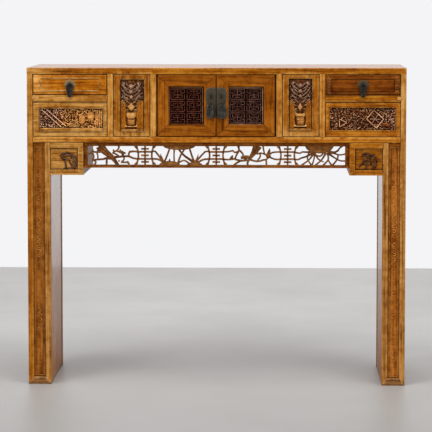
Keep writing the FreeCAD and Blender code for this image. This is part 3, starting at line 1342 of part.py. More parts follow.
plate_x = door_x + door_wide - size.door_plate_wide
plate_z = door_z + size.door_plate_rise
split_plate = new_body("split_plate", (plate_x, front - size.plate_thick, plate_z))
split = new_sketch(split_plate, "XZ_Plane")
foot_edge_shares = [
    (0, 0),
    (0.03, -0.16),
    (0.14, -0.26),
    (0.30, -0.26),
    (0.43, -0.16),
    (0.50, -0.03),
    (0.57, -0.16),
    (0.70, -0.26),
    (0.86, -0.26),
    (1, -0.16),
]
head_edge_shares = [(1, 0), (0.40, 0), (0.30, 0.10), (0.14, 0.12), (0.10, 0.30), (0, 0.42)]
split_outline = []
for across, rise in foot_edge_shares:
    split_outline.append((part_of(size.door_plate_wide, across), part_of(size.door_plate_wide, rise)))
for across, fall in head_edge_shares:
    high = size.door_plate_tall - size.door_plate_wide * fall
    split_outline.append((part_of(size.door_plate_wide, across), high))
polygon(split, split_outline)
pad(split_plate, split, size.plate_thick, inward=True)
split_cut = cut_by("split_plate_cut", split_plate, [lock_staple, pull_staple])
door_plate = group("door_plate_left", [split_cut, lock_staple, pull_staple])
keep("door_plate_right", mirrored("door_plate_right", door_plate))
pull("door_pull_left", door_ring_x, door_ring_z, *leaf_pull)
pull("door_pull_right", -door_ring_x, door_ring_z, *round_pull)

doc.recompute()

faults = []
for item in doc.Objects:
    if {"Invalid", "Error"} & set(item.State):
        faults.append(f"{item.Label}: {item.State}")
for before, feature in cut_checks:
    if feature.Shape.Volume >= before.Shape.Volume - tiny:
        faults.append(f"{feature.Label}: cuts nothing")
for label, piece in parts.items():
    shape = piece.Shape
    if shape.isNull() or not shape.isValid() or not shape.Solids:
        faults.append(f"{label}: no valid solid")
if faults:
    raise RuntimeError("; ".join(faults))

os.makedirs("parts", exist_ok=True)
for label, piece in parts.items():
    piece.Shape.exportStep(f"parts/{label}.step")
print(len(parts), "sub-parts,", sum(len(piece.Shape.Solids) for piece in parts.values()), "solids")
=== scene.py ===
import math
import random

import bmesh
import bpy
import mathutils
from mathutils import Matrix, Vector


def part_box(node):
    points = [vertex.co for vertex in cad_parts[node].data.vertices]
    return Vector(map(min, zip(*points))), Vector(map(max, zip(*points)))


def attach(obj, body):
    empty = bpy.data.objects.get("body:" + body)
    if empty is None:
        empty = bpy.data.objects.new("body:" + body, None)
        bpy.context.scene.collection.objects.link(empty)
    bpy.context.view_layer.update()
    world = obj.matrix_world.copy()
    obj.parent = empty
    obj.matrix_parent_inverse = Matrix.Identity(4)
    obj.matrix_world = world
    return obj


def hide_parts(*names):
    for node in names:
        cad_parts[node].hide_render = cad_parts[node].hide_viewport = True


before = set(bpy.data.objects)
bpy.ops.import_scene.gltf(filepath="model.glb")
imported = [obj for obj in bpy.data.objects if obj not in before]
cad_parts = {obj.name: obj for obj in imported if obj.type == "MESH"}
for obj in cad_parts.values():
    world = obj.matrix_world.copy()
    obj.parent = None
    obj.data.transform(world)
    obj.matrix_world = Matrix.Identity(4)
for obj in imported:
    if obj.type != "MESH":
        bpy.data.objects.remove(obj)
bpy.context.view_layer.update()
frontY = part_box("corner_post_front_left")[0][1]  # the front of the posts and rails
print("frame loaded:", len(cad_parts), "nodes")


def tone(red, green, blue):  # a colour as a paint program shows it, turned into Blender's linear values
    values = []
    for channel in (red, green, blue):
        share = channel / 255
        values.append(share / 12.92 if share <= 0.04045 else ((share + 0.055) / 1.055) ** 2.4)
    return (*values, 1.0)


# Shader helpers
class Signal:  # a number or colour that varies over the surface
    def __init__(self, tree, socket):
        self.tree = tree
        self.socket = socket

    def combine(self, operation, first, second):
        node = self.tree.nodes.new("ShaderNodeMath")
        node.operation = operation
        for slot, item in zip(node.inputs, (first, second)):
            if isinstance(item, Signal):
                self.tree.links.new(item.socket, slot)
            else:
                slot.default_value = item
        return Signal(self.tree, node.outputs[0])

    def __add__(self, other):
        return self.combine("ADD", self, other)

    def __radd__(self, other):
        return self.combine("ADD", other, self)

    def __sub__(self, other):
        return self.combine("SUBTRACT", self, other)

    def __rsub__(self, other):
        return self.combine("SUBTRACT", other, self)

    def __mul__(self, other):
        return self.combine("MULTIPLY", self, other)

    def __rmul__(self, other):
        return self.combine("MULTIPLY", other, self)

    def __pow__(self, other):
        return self.combine("POWER", self, other)

    def atMost(self, other):
        return self.combine("MINIMUM", self, other)


class Finish:  # one material and the nodes that it is made of
    def __init__(self, name):
        self.material = bpy.data.materials.new(name)
        self.material.use_nodes = True
        self.tree = self.material.node_tree
        self.tree.nodes.clear()

    def add(self, kind, settings=None, sockets=None, output=0):
        node = self.tree.nodes.new("ShaderNode" + kind)
        for name, value in (settings or {}).items():
            if name == "stops":
                self.setStops(node.color_ramp, value)
            else:
                setattr(node, name, value)
        for name, value in (sockets or {}).items():
            self.feed(node.inputs[name], value)
        return Signal(self.tree, node.outputs[output])

    def feed(self, slot, value):
        if isinstance(value, Signal):
            self.tree.links.new(value.socket, slot)
        else:
            slot.default_value = value

    def setStops(self, ramp, stops):
        while len(ramp.elements) < len(stops):
            ramp.elements.new(0.5)
        for element, (place, colour) in zip(ramp.elements, stops):
            element.position = place
            element.color = colour

    def blend(self, first, second, factor):  # colours sit on the sockets 6 and 7 of a Mix node
        return self.add("Mix", {"data_type": "RGBA"}, {0: factor, 6: first, 7: second}, 2)

    def span(self, value, low, high):  # 0 at low, 1 at high
        return self.add("MapRange", None, {"Value": value, "From Min": low, "From Max": high})

    def noise(self, place, scale, detail=4.0, roughness=0.6):
        sockets = {"Vector": place, "Scale": scale, "Detail": detail, "Roughness": roughness}
        return self.add("TexNoise", None, sockets)

    def place(self):
        return self.add("TexCoord", output="Object")

    def along(self, vector, axis):
        return self.add("SeparateXYZ", None, {"Vector": vector}, axis.upper())

    def openness(self, reach, inside=False):  # how free a place is, or inside the wood how far from an edge
        settings = {"samples": 6, "inside": inside, "only_local": inside}
        return self.add("AmbientOcclusion", settings, {"Distance": reach}, "AO")

    def done(self, shader):
        output = self.tree.nodes.new("ShaderNodeOutputMaterial")
        self.tree.links.new(shader.socket, output.inputs["Surface"])
        return self.material


# Lacquered wood
looks = {  # dark grain, main colour, light grain, worn edge with painted highlight, dark streaks with painted shade in hollows
    "golden": ((142, 82, 20), (184, 124, 50), (214, 160, 88), (228, 182, 112), (66, 28, 4)),
    "honey": ((120, 60, 0), (156, 88, 10), (186, 120, 30), (208, 150, 70), (56, 22, 3)),
    "amber": ((126, 66, 6), (160, 90, 16), (188, 120, 34), (210, 150, 70), (56, 22, 3)),
    # its edge tone is dark: painted shade along the door edges
    "door": ((104, 48, 2), (140, 76, 10), (166, 98, 24), (66, 26, 4), (40, 14, 3)),
    "brown": ((84, 34, 2), (114, 54, 5), (142, 76, 16), (170, 106, 40), (36, 13, 3)),
    "strip": ((96, 46, 6), (132, 74, 20), (162, 100, 38), (184, 122, 54), (52, 22, 5)),
    "apron": ((52, 24, 6), (86, 46, 14), (122, 74, 32), (160, 110, 62), (26, 10, 3)),
    "carving": ((98, 54, 18), (150, 98, 44), (186, 134, 72), (216, 170, 106), (42, 16, 4)),
    "red": ((84, 30, 6), (118, 50, 12), (146, 74, 28), (176, 108, 56), (30, 10, 3)),
    "bed": ((84, 40, 10), (122, 70, 28), (156, 100, 50), (160, 110, 60), (30, 11, 4)),
    "plumBed": ((62, 32, 20), (92, 54, 34), (124, 80, 52), (160, 110, 60), (26, 9, 5)),
    "duskBed": ((70, 24, 8), (102, 46, 16), (136, 76, 36), (160, 110, 60), (22, 7, 3)),
    "plumCarving": ((70, 38, 26), (116, 76, 56), (160, 118, 92), (204, 164, 134), (30, 10, 7)),
    "duskCarving": ((62, 30, 16), (98, 60, 36), (142, 98, 68), (188, 144, 106), (26, 9, 4)),
    "deep": ((31, 9, 6), (52, 24, 18), (86, 51, 40), (128, 90, 76), (16, 4, 3)),
    "deepRed": ((31, 7, 4), (52, 17, 11), (84, 38, 25), (120, 70, 48), (16, 4, 3)),
    "foot": ((84, 50, 22), (128, 86, 46), (164, 120, 76), (184, 140, 96), (50, 26, 10)),
    "post": ((128, 72, 18), (170, 110, 44), (198, 142, 74), (214, 160, 92), (60, 26, 5)),
    "plain": ((116, 78, 44), (146, 102, 60), (172, 128, 82), (180, 140, 96), (64, 40, 22)),
}
grainScale = {"x": (2.2, 46.0, 46.0), "y": (46.0, 2.2, 46.0), "z": (46.0, 46.0, 2.2)}
noises = {
    "shift": (3.1, 1.7, 2.3),  # how far a seed moves the pattern along each axis
    "grain": {"Scale": 3.2, "Detail": 6.0, "Roughness": 0.64, "Distortion": 0.35},
    "broad": 9.0,
    "patches": 60.0,
}
wood = {
    "steps": (0.43, 0.52, 0.61),  # where dark, main and light grain stand
    "fine": 0.54,  # shares of the fine grain, the broad clouds and the patches in the grain
    "broad": 0.22,
    "patches": 0.28,
    "streaks": 0.6,
    "streakSpan": (0.43, 0.29),  # from where the noise begins to tell to where it tells fully
    "faded": 0.35,
    "fadeSpan": (0.54, 0.72),
    "edgeSpan": (0.96, 0.72),
    "rubbedAndPaintedLightSpan": (0.34, 0.62),
    # painted shade: how strongly hollows, gaps and crevices are darkened, and the shape of that darkening
    "paintedShade": 0.95,
    "paintedShadeSpan": (0.97, 0.42),
    "paintedShadeCurve": 1.15,
    "paintedShadeMost": 0.94,
    "gloss": 0.26,  # roughness, and how much the grain and the patches add
    "glossGrain": 0.16,
    "glossPatches": 0.10,
    "shine": 0.06,
    "edge": 0.0034,  # how wide a worn edge with its painted light looks
    "softCorner": 0.0012,
    "bump": 0.16,
    "bumpHeight": 0.0006,
    "coatTop": 0.68,
    "coatSide": 0.9,
    "coatRough": 0.14,
}
carved = {
    "steps": (0.0, 0.16, 0.38, 0.66, 0.92),  # painted shade in the hollows, dark, main, light, and worn wood with painted highlight on the crests
    "rise": 0.80,
    "patches": 1.1,
    "fine": 0.6,
    "paintedShadeReach": 0.0030,
    "border": 0.08,  # how uneven the border between two looks is
}


def toneSet(look, shade):
    return [tuple(value * shade for value in tone(*colour)[:3]) + (1.0,) for colour in looks[look]]


def noisesOf(finish, grain, seed):
    place = finish.place()
    shift = tuple(seed * step for step in noises["shift"])
    stretched = finish.add("Mapping", None, {"Vector": place, "Location": shift, "Scale": grainScale[grain]})
    moved = finish.add("Mapping", None, {"Vector": place, "Location": shift})
    fine = finish.add("TexNoise", None, {"Vector": stretched, **noises["grain"]})
    patches = finish.noise(moved, noises["patches"], 4.0, 0.66)
    return place, fine, finish.noise(moved, noises["broad"]), patches


def woodShader(finish, colour, fine, patches, gloss, coat=None):
    corner = finish.add("Bevel", {"samples": 4}, {"Radius": wood["softCorner"]})
    sockets = {
        "Base Color": colour,
        "Roughness": fine * wood["glossGrain"] + (gloss + patches * wood["glossPatches"]),
        "Normal": finish.add("Bump", None, {"Strength": wood["bump"], "Distance": wood["bumpHeight"],
                                            "Height": fine, "Normal": corner}),
        "Specular IOR Level": wood["shine"],
    }
    if coat is not None:
        sockets["Coat Weight"] = coat
        sockets["Coat Roughness"] = wood["coatRough"]
    return finish.add("BsdfPrincipled", None, sockets)


# painted shade: darkens where ambient occlusion finds hollows, gaps and crevices
def paintedShadeOf(finish, reach, strength):
    closed = finish.span(finish.openness(reach), *wood["paintedShadeSpan"]) ** wood["paintedShadeCurve"]
    return (closed * strength).atMost(wood["paintedShadeMost"])


def coatOf(finish, place, kind):
    if kind == "top":  # lacquer kept bright where it faces up
        upward = finish.along(finish.add("NewGeometry", output="Normal"), "z")
        return finish.span(upward, 0.6, 0.9) * wood["coatTop"]
    if kind == "side":  # lacquer coat grows with height: a painted reflection, brighter higher up
        return finish.span(finish.along(place, "z"), -0.05, 0.66) * wood["coatSide"]
    return None


def woodFinish(name, look, grain, seed=0.0, wear=0.5, shadeReach=0.010, shade=1.0, second=None, coat=None):
    finish = Finish(name)
    place, fine, broad, patches = noisesOf(finish, grain, seed)
    mix = fine * wood["fine"] + (broad * wood["broad"] + patches * wood["patches"])

    def grainOf(tones):
        return finish.add("ValToRGB", {"stops": list(zip(wood["steps"], tones))}, {"Fac": mix})

    tones = toneSet(look, shade)
    grainTone = grainOf(tones)
    if second:  # the same board with another look further along
        tones = toneSet(second["look"], shade)
        along = finish.along(place, second["axis"])
        grainTone = finish.blend(grainTone, grainOf(tones), finish.span(along, second["low"], second["high"]))
    light, edge, streakAndShade = tones[2:]
    streaked = finish.blend(grainTone, streakAndShade, finish.span(fine, *wood["streakSpan"]) * wood["streaks"])
    faded = finish.blend(streaked, light, finish.span(broad, *wood["fadeSpan"]) * wood["faded"])
    # worn edges with painted light: a painted highlight, and painted shade in the door look
    corners = finish.span(finish.openness(wood["edge"], True), *wood["edgeSpan"])
    rubbedAndPaintedLight = corners * finish.span(patches, *wood["rubbedAndPaintedLightSpan"])
    edged = finish.blend(faded, edge, rubbedAndPaintedLight * wear)
    # painted shade in hollows and gaps
    coloured = finish.blend(edged, streakAndShade, paintedShadeOf(finish, shadeReach, wood["paintedShade"]))
    lacquer = coatOf(finish, place, coat)
    return finish.done(woodShader(finish, coloured, fine, patches, wood["gloss"], lacquer))


def carvingFinish(name, look, grain, ground, crest, seed=0.0, second=None, rough=0.34, shade=1.0,
                  paintedShade=0.62, rear=None):
    finish = Finish(name)  # painted shade in the hollows and on the sides of the strokes, painted highlight with worn wood on the crests
    place, fine, broad, patches = noisesOf(finish, grain, seed)
    depth = finish.along(place, "y")
    uneven = (patches - 0.5) * carved["patches"] + (fine - 0.5) * carved["fine"]
    height = finish.span(depth, ground, crest) * carved["rise"] + uneven

    def rampOf(tones):
        dark, main, light, edge, streakAndShade = tones
        stops = list(zip(carved["steps"], (streakAndShade, dark, main, light, edge)))
        return finish.add("ValToRGB", {"stops": stops}, {"Fac": height})

    tones = toneSet(look, shade)
    coloured = rampOf(tones)
    if second:
        along = finish.along(place, second["axis"]) + (broad - 0.5) * carved["border"]
        share = finish.span(along, second["low"], second["high"])
        coloured = finish.blend(coloured, rampOf(toneSet(second["look"], shade)), share)
    if rear:  # plain wood on the far side of a pierced board
        coloured = finish.blend(coloured, tones[1], finish.span(depth, rear - 0.002, rear - 0.001))
    # painted shade near the strokes
    shaded = finish.blend(coloured, tones[4], paintedShadeOf(finish, carved["paintedShadeReach"], paintedShade))
    return finish.done(woodShader(finish, shaded, fine, patches, rough))


# Old brass
metals = {  # dark, main, light, worn edge with painted highlight
    "plate": ((20, 17, 13), (46, 40, 31), (80, 73, 60), (112, 100, 78)),
    "drawerPlate": ((30, 20, 10), (70, 52, 29), (110, 86, 52), (196, 162, 108)),
    "darkPlate": ((24, 17, 10), (54, 41, 26), (88, 70, 46), (120, 98, 64)),
    "pull": ((12, 11, 9), (30, 29, 23), (60, 57, 44), (104, 94, 70)),
    "doorPull": ((22, 21, 18), (50, 47, 40), (92, 89, 77), (150, 142, 120)),
    "staple": ((6, 5, 4), (16, 14, 10), (34, 30, 22), (70, 62, 46)),
}
patina = {
    "fineScale": 420.0,
    "cloudScale": 90.0,
    "steps": (0.34, 0.50, 0.68),
    "edge": 0.0014,
    "edgeSpan": (0.92, 0.55),
    "rubbedAndPaintedLight": 0.7,
    # painted shade on the metal: its colour and how far it reaches
    "metalShade": tone(14, 10, 6),
    "metalShadeReach": 0.020,
    "metallic": 0.55,
    "rough": 0.34,
    "roughGrains": 0.25,
    "bump": 0.35,
    "bumpHeight": 0.0004,
}


def metalFinish(name, metal, seed=0.0, metalShade=1.0):
    finish = Finish(name)
    place = finish.place()
    grains = finish.noise(place, patina["fineScale"], 5.0, 0.65)
    clouds = finish.noise(place, patina["cloudScale"] + seed, 3.0, 0.5)
    tones = [tone(*colour) for colour in metals[metal]]
    stops = list(zip(patina["steps"], tones))
    spots = finish.add("ValToRGB", {"stops": stops}, {"Fac": grains * 0.5 + clouds * 0.5})
    # worn rims with a painted highlight
    corner = finish.span(finish.openness(patina["edge"], True), *patina["edgeSpan"])
    rubbedAndPaintedLight = finish.blend(spots, tones[3], corner * patina["rubbedAndPaintedLight"])
    # painted shade round the pulls and in hollows
    shaded = finish.blend(rubbedAndPaintedLight, patina["metalShade"], paintedShadeOf(finish, patina["metalShadeReach"], metalShade))
    shader = finish.add("BsdfPrincipled", None, {
        "Base Color": shaded,
        "Metallic": patina["metallic"],
        "Roughness": grains * patina["roughGrains"] + patina["rough"],
        "Normal": finish.add("Bump", None, {"Strength": patina["bump"], "Distance": patina["bumpHeight"],
                                            "Height": grains}),
    })
    return finish.done(shader)


# Camera
camera = {
    "place": (0.166, -6.154, 1.078),
    "pitch": 4.61,
    "yaw": 1.59,
    "focal": 2171,  # in the photograph's pixels
    "pictureWide": 432,
    "sensorWide": 36,
    "shift": -0.10,
    "farthest": 60,
}
lensData = bpy.data.cameras.new("camera")
lensData.lens = camera["focal"] * camera["sensorWide"] / camera["pictureWide"]
lensData.sensor_width = camera["sensorWide"]
lensData.shift_y = camera["shift"]
lensData.clip_end = camera["farthest"]
lensObject = bpy.data.objects.new("camera", lensData)
lensObject.location = camera["place"]
lensObject.rotation_euler = (math.radians(90 - camera["pitch"]), 0, math.radians(camera["yaw"]))
bpy.context.scene.collection.objects.link(lensObject)
bpy.context.scene.camera = lensObject

# Studio
studio = {
    "wallY": 2.48,
    "halfWide": 9.0,
    "nearY": -12.0,
    "tall": 7.0,
    "floorBack": tone(197, 195, 192),
    # painted shade: the floor's colour at the front, darker than at the back
    "floorNearShade": tone(152, 150, 147),
    "floorClouds": tone(188, 186, 183),
    "cloudScale": 1.6,
    "cloudSpan": (0.40, 0.62),
    "floorRough": 0.32,
    "cloudRough": 0.2,
    # painted shade: where the floor begins and ends darkening towards the front
    "shadeFrom": 1.4,
    "shadeTo": -1.1,
    "wall": tone(244, 244, 246),
    "worldColour": (1.0, 1.0, 1.0, 1.0),
    "worldStrength": 0.30,
}
lamps = {
    "overhead": {"place": (0.0, -1.2, 4.2), "aim": (0.0, 0.0, 0.2), "wide": 4.5, "tall": 3.0, "power": 150},
    "frontLeft": {"place": (-3.4, -4.2, 2.9), "aim": (0.0, 0.0, 0.5), "wide": 2.6, "tall": 2.2, "power": 105},
    "frontRight": {"place": (3.6, -4.4, 2.6), "aim": (0.0, 0.0, 0.5), "wide": 2.6, "tall": 2.2, "power": 80},
}


def flatPiece(name, corners, finish):
    mesh = bpy.data.meshes.new(name)
    mesh.from_pydata(corners, [], [tuple(range(len(corners)))])
    mesh.materials.append(finish)
    made = bpy.data.objects.new(name, mesh)
    bpy.context.scene.collection.objects.link(made)


def floorFinish():
    finish = Finish("studioFloor")
    place = finish.place()
    clouds = finish.noise(place, studio["cloudScale"], 5.0)
    cloudy = finish.span(clouds, *studio["cloudSpan"])
    paint = finish.blend(studio["floorBack"], studio["floorClouds"], cloudy)
    # painted shade: darker towards the front of the floor
    nearShade = finish.span(finish.along(place, "y"), studio["shadeFrom"], studio["shadeTo"])
    faded = finish.blend(paint, studio["floorNearShade"], nearShade)
    rough = clouds * studio["cloudRough"] + studio["floorRough"]
    return finish.done(finish.add("BsdfPrincipled", None, {"Base Color": faded, "Roughness": rough}))


def wallFinish():
    finish = Finish("studioWall")
    seen = finish.add("LightPath", output="Is Camera Ray") + finish.add("LightPath", output="Is Glossy Ray")
    shown = (seen + finish.add("LightPath", output="Is Transmission Ray")).atMost(1.0)
    plain = finish.add("BsdfDiffuse", None, {"Color": studio["wall"]})
    lit = finish.add("Emission", None, {"Color": studio["wall"], "Strength": 1.0})
    front = finish.add("MixShader", None, {0: shown, 1: plain, 2: lit})
    behind = finish.add("NewGeometry", output="Backfacing")  # the wall is clear from its back
    clear = finish.add("BsdfTransparent")
    return finish.done(finish.add("MixShader", None, {0: behind, 1: front, 2: clear}))


def makeStudio():
    wide, wallY, nearY, tall = studio["halfWide"], studio["wallY"], studio["nearY"], studio["tall"]
    wallFoot = [(-wide, wallY, 0), (wide, wallY, 0)]
    flatPiece("floor", [(-wide, nearY, 0), (wide, nearY, 0), wallFoot[1], wallFoot[0]], floorFinish())
    flatPiece("wall", [*wallFoot, (wide, wallY, tall), (-wide, wallY, tall)], wallFinish())
    for name, lamp in lamps.items():
        lampData = bpy.data.lights.new(name, "AREA")
        lampData.shape = "RECTANGLE"
        lampData.size = lamp["wide"]
        lampData.size_y = lamp["tall"]
        lampData.energy = lamp["power"]
        lampObject = bpy.data.objects.new(name, lampData)
        lampObject.location = lamp["place"]
        way = mathutils.Vector(lamp["aim"]) - mathutils.Vector(lamp["place"])
        lampObject.rotation_euler = way.to_track_quat("-Z", "Y").to_euler()
        bpy.context.scene.collection.objects.link(lampObject)
    world = bpy.data.worlds.new("studio")
    bpy.context.scene.world = world
    world.use_nodes = True
    background = world.node_tree.nodes["Background"]
    background.inputs["Color"].default_value = studio["worldColour"]
    background.inputs["Strength"].default_value = studio["worldStrength"]
    bpy.context.scene.view_settings.view_transform = "Standard"


makeStudio()
print("camera and studio placed")

# Shapes
sections = {  # half a round, a leaf with a crease, and a bar with broken edges: across, rise
    "round": [(-1, 0), (-0.92, 0.45), (-0.60, 0.82), (0, 1), (0.60, 0.82), (0.92, 0.45), (1, 0)],
    "leaf": [(-1, 0), (-0.78, 0.70), (-0.42, 1), (0, 0.45), (0.42, 1), (0.78, 0.70), (1, 0)],
    "flat": [(-1, 0), (-0.94, 0.70), (-0.70, 1), (0.70, 1), (0.94, 0.70), (1, 0)],
}
domeSteps = [(1, 0), (0.92, 0.42), (0.72, 0.74), (0.40, 0.95), (0.12, 1)]  # how wide it still is, rise
lowestCrest = 0.35  # the crest of a stroke's thinnest place, as a share of its highest
sharpAngle = 38


def circle(count, start=0.0):  # equal turns, as cosine and sine
    angles = [start + 2 * math.pi * number / count for number in range(count)]
    return [(math.cos(angle), math.sin(angle)) for angle in angles]


def middleOf(points):
    return sum(x for x, z in points) / len(points), sum(z for x, z in points) / len(points)


class Field:  # a rectangle on the front, in which places are given as shares of its width and height
    def __init__(self, x0, z0, x1, z1):
        self.x0, self.z0, self.x1, self.z1 = x0, z0, x1, z1

    def at(self, across, up):
        return self.x0 + across * (self.x1 - self.x0), self.z0 + up * (self.z1 - self.z0)

    def path(self, points):  # across, up and half width in millimetres
        return [(*self.at(across, up), half / 1000) for across, up, half in points]

    def keep(self, x, z, margin):
        x = min(max(x, self.x0 + margin), self.x1 - margin)
        return x, min(max(z, self.z0 + margin), self.z1 - margin)

    def inside(self, left, foot, right, head):
        return Field(self.x0 + left, self.z0 + foot, self.x1 - right, self.z1 - head)

    def within(self, margin):
        return self.inside(margin, margin, margin, margin)

    def loop(self, y):  # its four corners at a depth
        return [(self.x0, y, self.z0), (self.x1, y, self.z0), (self.x1, y, self.z1), (self.x0, y, self.z1)]


def fieldOf(node, inset=(0.0, 0.0, 0.0, 0.0)):  # inset: left, foot, right and head, in metres
    low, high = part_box(node)
    return Field(low[0], low[2], high[0], high[2]).inside(*inset)


def smoothLine(points, steps):  # a curve through all the given places, with their widths
    line = []
    last = len(points) - 1
    for number in range(last):
        ends = [points[max(number - 1, 0)], points[number], points[number + 1], points[min(number + 2, last)]]
        for step in range(steps):
            t = step / steps
            weights = ((-t + 2 * t * t - t ** 3) / 2, (2 - 5 * t * t + 3 * t ** 3) / 2,
                       (t + 4 * t * t - 3 * t ** 3) / 2, (-t * t + t ** 3) / 2)
            line.append(tuple(sum(weight * end[axis] for weight, end in zip(weights, ends))
                              for axis in range(3)))
    line.append(tuple(points[-1]))
    return line


def barLine(first, last, half):  # the line of a straight stroke
    return [(*first, half), (*middleOf([first, last]), half), (*last, half)]


def framed(field, inner, steps):  # rectangles between an outer and an inner one: share, depth
    loops = []
    for share, y in steps:
        x0, x1 = field.x0 + (inner.x0 - field.x0) * share, field.x1 + (inner.x1 - field.x1) * share
        z0, z1 = field.z0 + (inner.z0 - field.z0) * share, field.z1 + (inner.z1 - field.z1) * share
        loops.append(Field(x0, z0, x1, z1).loop(y))
    return loops


def steppedLoops(points, centre, depths):  # an outline drawn in towards a place: share, y
    return [[(centre[0] + (x - centre[0]) * share, y, centre[1] + (z - centre[1]) * share) for x, z in points]
            for share, y in depths]


class Shape:  # corners and faces of one piece while it is being made
    def __init__(self):
        self.corners = []
        self.faces = []

    def skin(self, loops, closed=False):
        rings = []
        for loop in loops:
            start = len(self.corners)
            self.corners.extend(loop)
            rings.append(range(start, len(self.corners)))
        count = len(rings[0])
        pairs = list(zip(rings, rings[1:]))
        if closed:
            pairs.append((rings[-1], rings[0]))
        for first, second in pairs:
            for number in range(count):
                following = (number + 1) % count
                self.faces.append((first[number], first[following], second[following], second[number]))
        if not closed:
            self.faces.append(tuple(rings[0]))
            self.faces.append(tuple(rings[-1]))

    def nested(self, field, steps):  # a rectangle in steps: how far inside the field, and the depth there
        self.skin([field.within(inset).loop(y) for inset, y in steps])

    def stroke(self, points, low, high, back, section="round", steps=4):  # points: x, z, half width
        line = smoothLine(points, steps)
        widest = max(point[2] for point in line)
        loops = []
        for number, (x, z, half) in enumerate(line):
            before = line[max(number - 1, 0)]
            after = line[min(number + 1, len(line) - 1)]
            runX, runZ = after[0] - before[0], after[1] - before[1]
            length = math.hypot(runX, runZ) or 1.0
            acrossX, acrossZ = -runZ / length * half, runX / length * half
            rise = (high - low) * (lowestCrest + (1 - lowestCrest) * half / widest)
            loop = [(x - acrossX, back, z - acrossZ)]
            for share, up in sections[section]:
                loop.append((x + acrossX * share, low + rise * up, z + acrossZ * share))
            loop.append((x + acrossX, back, z + acrossZ))
            loops.append(loop)
        self.skin(loops)

    def straight(self, first, last, half, low, high, back, section="flat"):  # a bar between two places
        self.stroke(barLine(first, last, half), low, high, back, section, 2)

    def dome(self, x, z, wide, tall, low, high, back, sides=14):  # a fruit, bead or boss
        loops = []
        for share, y in [(1, back)] + [(share, low + (high - low) * rise) for share, rise in domeSteps]:
            loops.append([(x + cosine * wide * share, y, z + sine * tall * share)
                          for cosine, sine in circle(sides)])
        self.skin(loops)

    def outline(self, points, centre, depths):
        self.skin(steppedLoops(points, centre, depths))

    def ring(self, centre, radius, wire, turns=28, sides=10):  # a ring that stands in the YZ plane
        loops = []
        for outY, outZ in circle(turns):
            loop = []
            for cosine, sine in circle(sides):
                reach = radius + wire * cosine
                loop.append((centre[0] + wire * sine, centre[1] + outY * reach, centre[2] + outZ * reach))
            loops.append(loop)
        self.skin(loops, closed=True)


def makePiece(name, shape, finish, body, standsFor=()):
    mesh = bpy.data.meshes.new(name)
    mesh.from_pydata(shape.corners, [], shape.faces)
    sheet = bmesh.new()
    sheet.from_mesh(mesh)
    bmesh.ops.recalc_face_normals(sheet, faces=sheet.faces[:])
    sheet.to_mesh(mesh)
    sheet.free()
    mesh.polygons.foreach_set("use_smooth", [True] * len(mesh.polygons))
    mesh.set_sharp_from_angle(angle=math.radians(sharpAngle))
    mesh.materials.append(finish)
    made = bpy.data.objects.new(name, mesh)
    bpy.context.scene.collection.objects.link(made)
    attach(made, body)
    if standsFor:
        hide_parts(*standsFor)


def carvedPiece(name, shape, finish, standsFor=()):
    makePiece(name, shape, finish, "table", standsFor)


# Carved boards
relief = {  # depths behind the front of the posts
    "border": 0.0015,
    "field": 0.0075,
    "crest": 0.0016,
    "top": 0.0010,
    "fruit": 0.0046,
    "kite": 0.0010,
    "lozenge": 0.0003,
    "lattice": 0.0034,
    "upright": 0.0012,
    "sill": 0.0024,
    # the depth where the painted highlight on the crests is full
    "rubbedAndPaintedLight": 0.0031,
    "uneven": 0.0026,  # how much lower some leaves are
    "bead": 0.0011,  # how far a board's bead rises from it, and its width
    "beadWide": 0.0012,
    "tongue": 0.005,  # how far a board runs into its frame
    "groove": 0.0032,  # how deep the dark line at its edge is
    "spare": 0.0004,  # how far the carving stands into what carries it
}
base, crest = frontY + relief["field"], frontY + relief["crest"]
back = base + relief["spare"]
bedSteps = [(0, back), (0, base - 0.0001), (0.0004, base - 0.0003)]


def groove(outer, face, rear):  # a board's tongue and the dark line where it comes into view
    deep = face + relief["groove"]
    steps = [(0, rear), (0, face), (1.0, face), (1.05, deep), (1.28, deep), (1.36, face)]
    return framed(outer, outer.within(relief["tongue"]), steps)


def sunkBoard(shape, node, field):  # a board with a beaded edge round a sunk field
    face = frontY + relief["border"]
    bead = face - relief["bead"]
    steps = [(-2.2, face), (-1.8, face + 0.0009), (-1.3, bead), (-0.4, bead), (0, face + 0.0006), (0.2, base)]
    shape.skin(groove(fieldOf(node), face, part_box(node)[1][1])
               + framed(field, field.within(relief["beadWide"]), steps))


def nearLine(x, z, first, last, reach):
    ax, az = first
    bx, bz = last
    share = ((x - ax) * (bx - ax) + (z - az) * (bz - az)) / ((bx - ax) ** 2 + (bz - az) ** 2)
    share = min(max(share, 0), 1)
    return math.hypot(x - ax - share * (bx - ax), z - az - share * (bz - az)) < reach


leaf = {
    "tries": 30,  # for each leaf
    "swell": (0.45, 1.0, 0.9, 0.3),  # shares of its half width along it
    "bend": (1.8, 3.6),  # how far it turns, in radians
    "drawIn": 0.18,  # how much closer to its middle each next place lies
    "kinds": ("leaf", "round", "round"),
}


def leafSpray(shape, dice, area, clear, spray):  # crowded curling leaves round what is kept clear
    placed = []
    for attempt in range(spray["count"] * leaf["tries"]):
        if len(placed) == spray["count"]:
            break
        x, z = dice.uniform(area.x0, area.x1), dice.uniform(area.z0, area.z1)
        if any(math.hypot(x - other[0], z - other[1]) < spray["apart"] for other in placed):
            continue
        if any(nearLine(x, z, *item) for item in clear):
            continue
        placed.append((x, z))
        start = dice.uniform(0, 2 * math.pi)
        bend = dice.choice((-1, 1)) * dice.uniform(*leaf["bend"])
        reach = dice.uniform(*spray["reach"])
        points = []
        for number, swell in enumerate(leaf["swell"]):
            angle = start + bend * number / 3
            radius = reach * (1 - leaf["drawIn"] * number)
            half = swell * dice.uniform(*spray["half"])
            place = area.keep(x + math.cos(angle) * radius, z + math.sin(angle) * radius, half)
            points.append((*place, half))
        height = crest + dice.uniform(0, relief["uneven"])
        shape.stroke(points, base, height, back, dice.choice(leaf["kinds"]), 3)


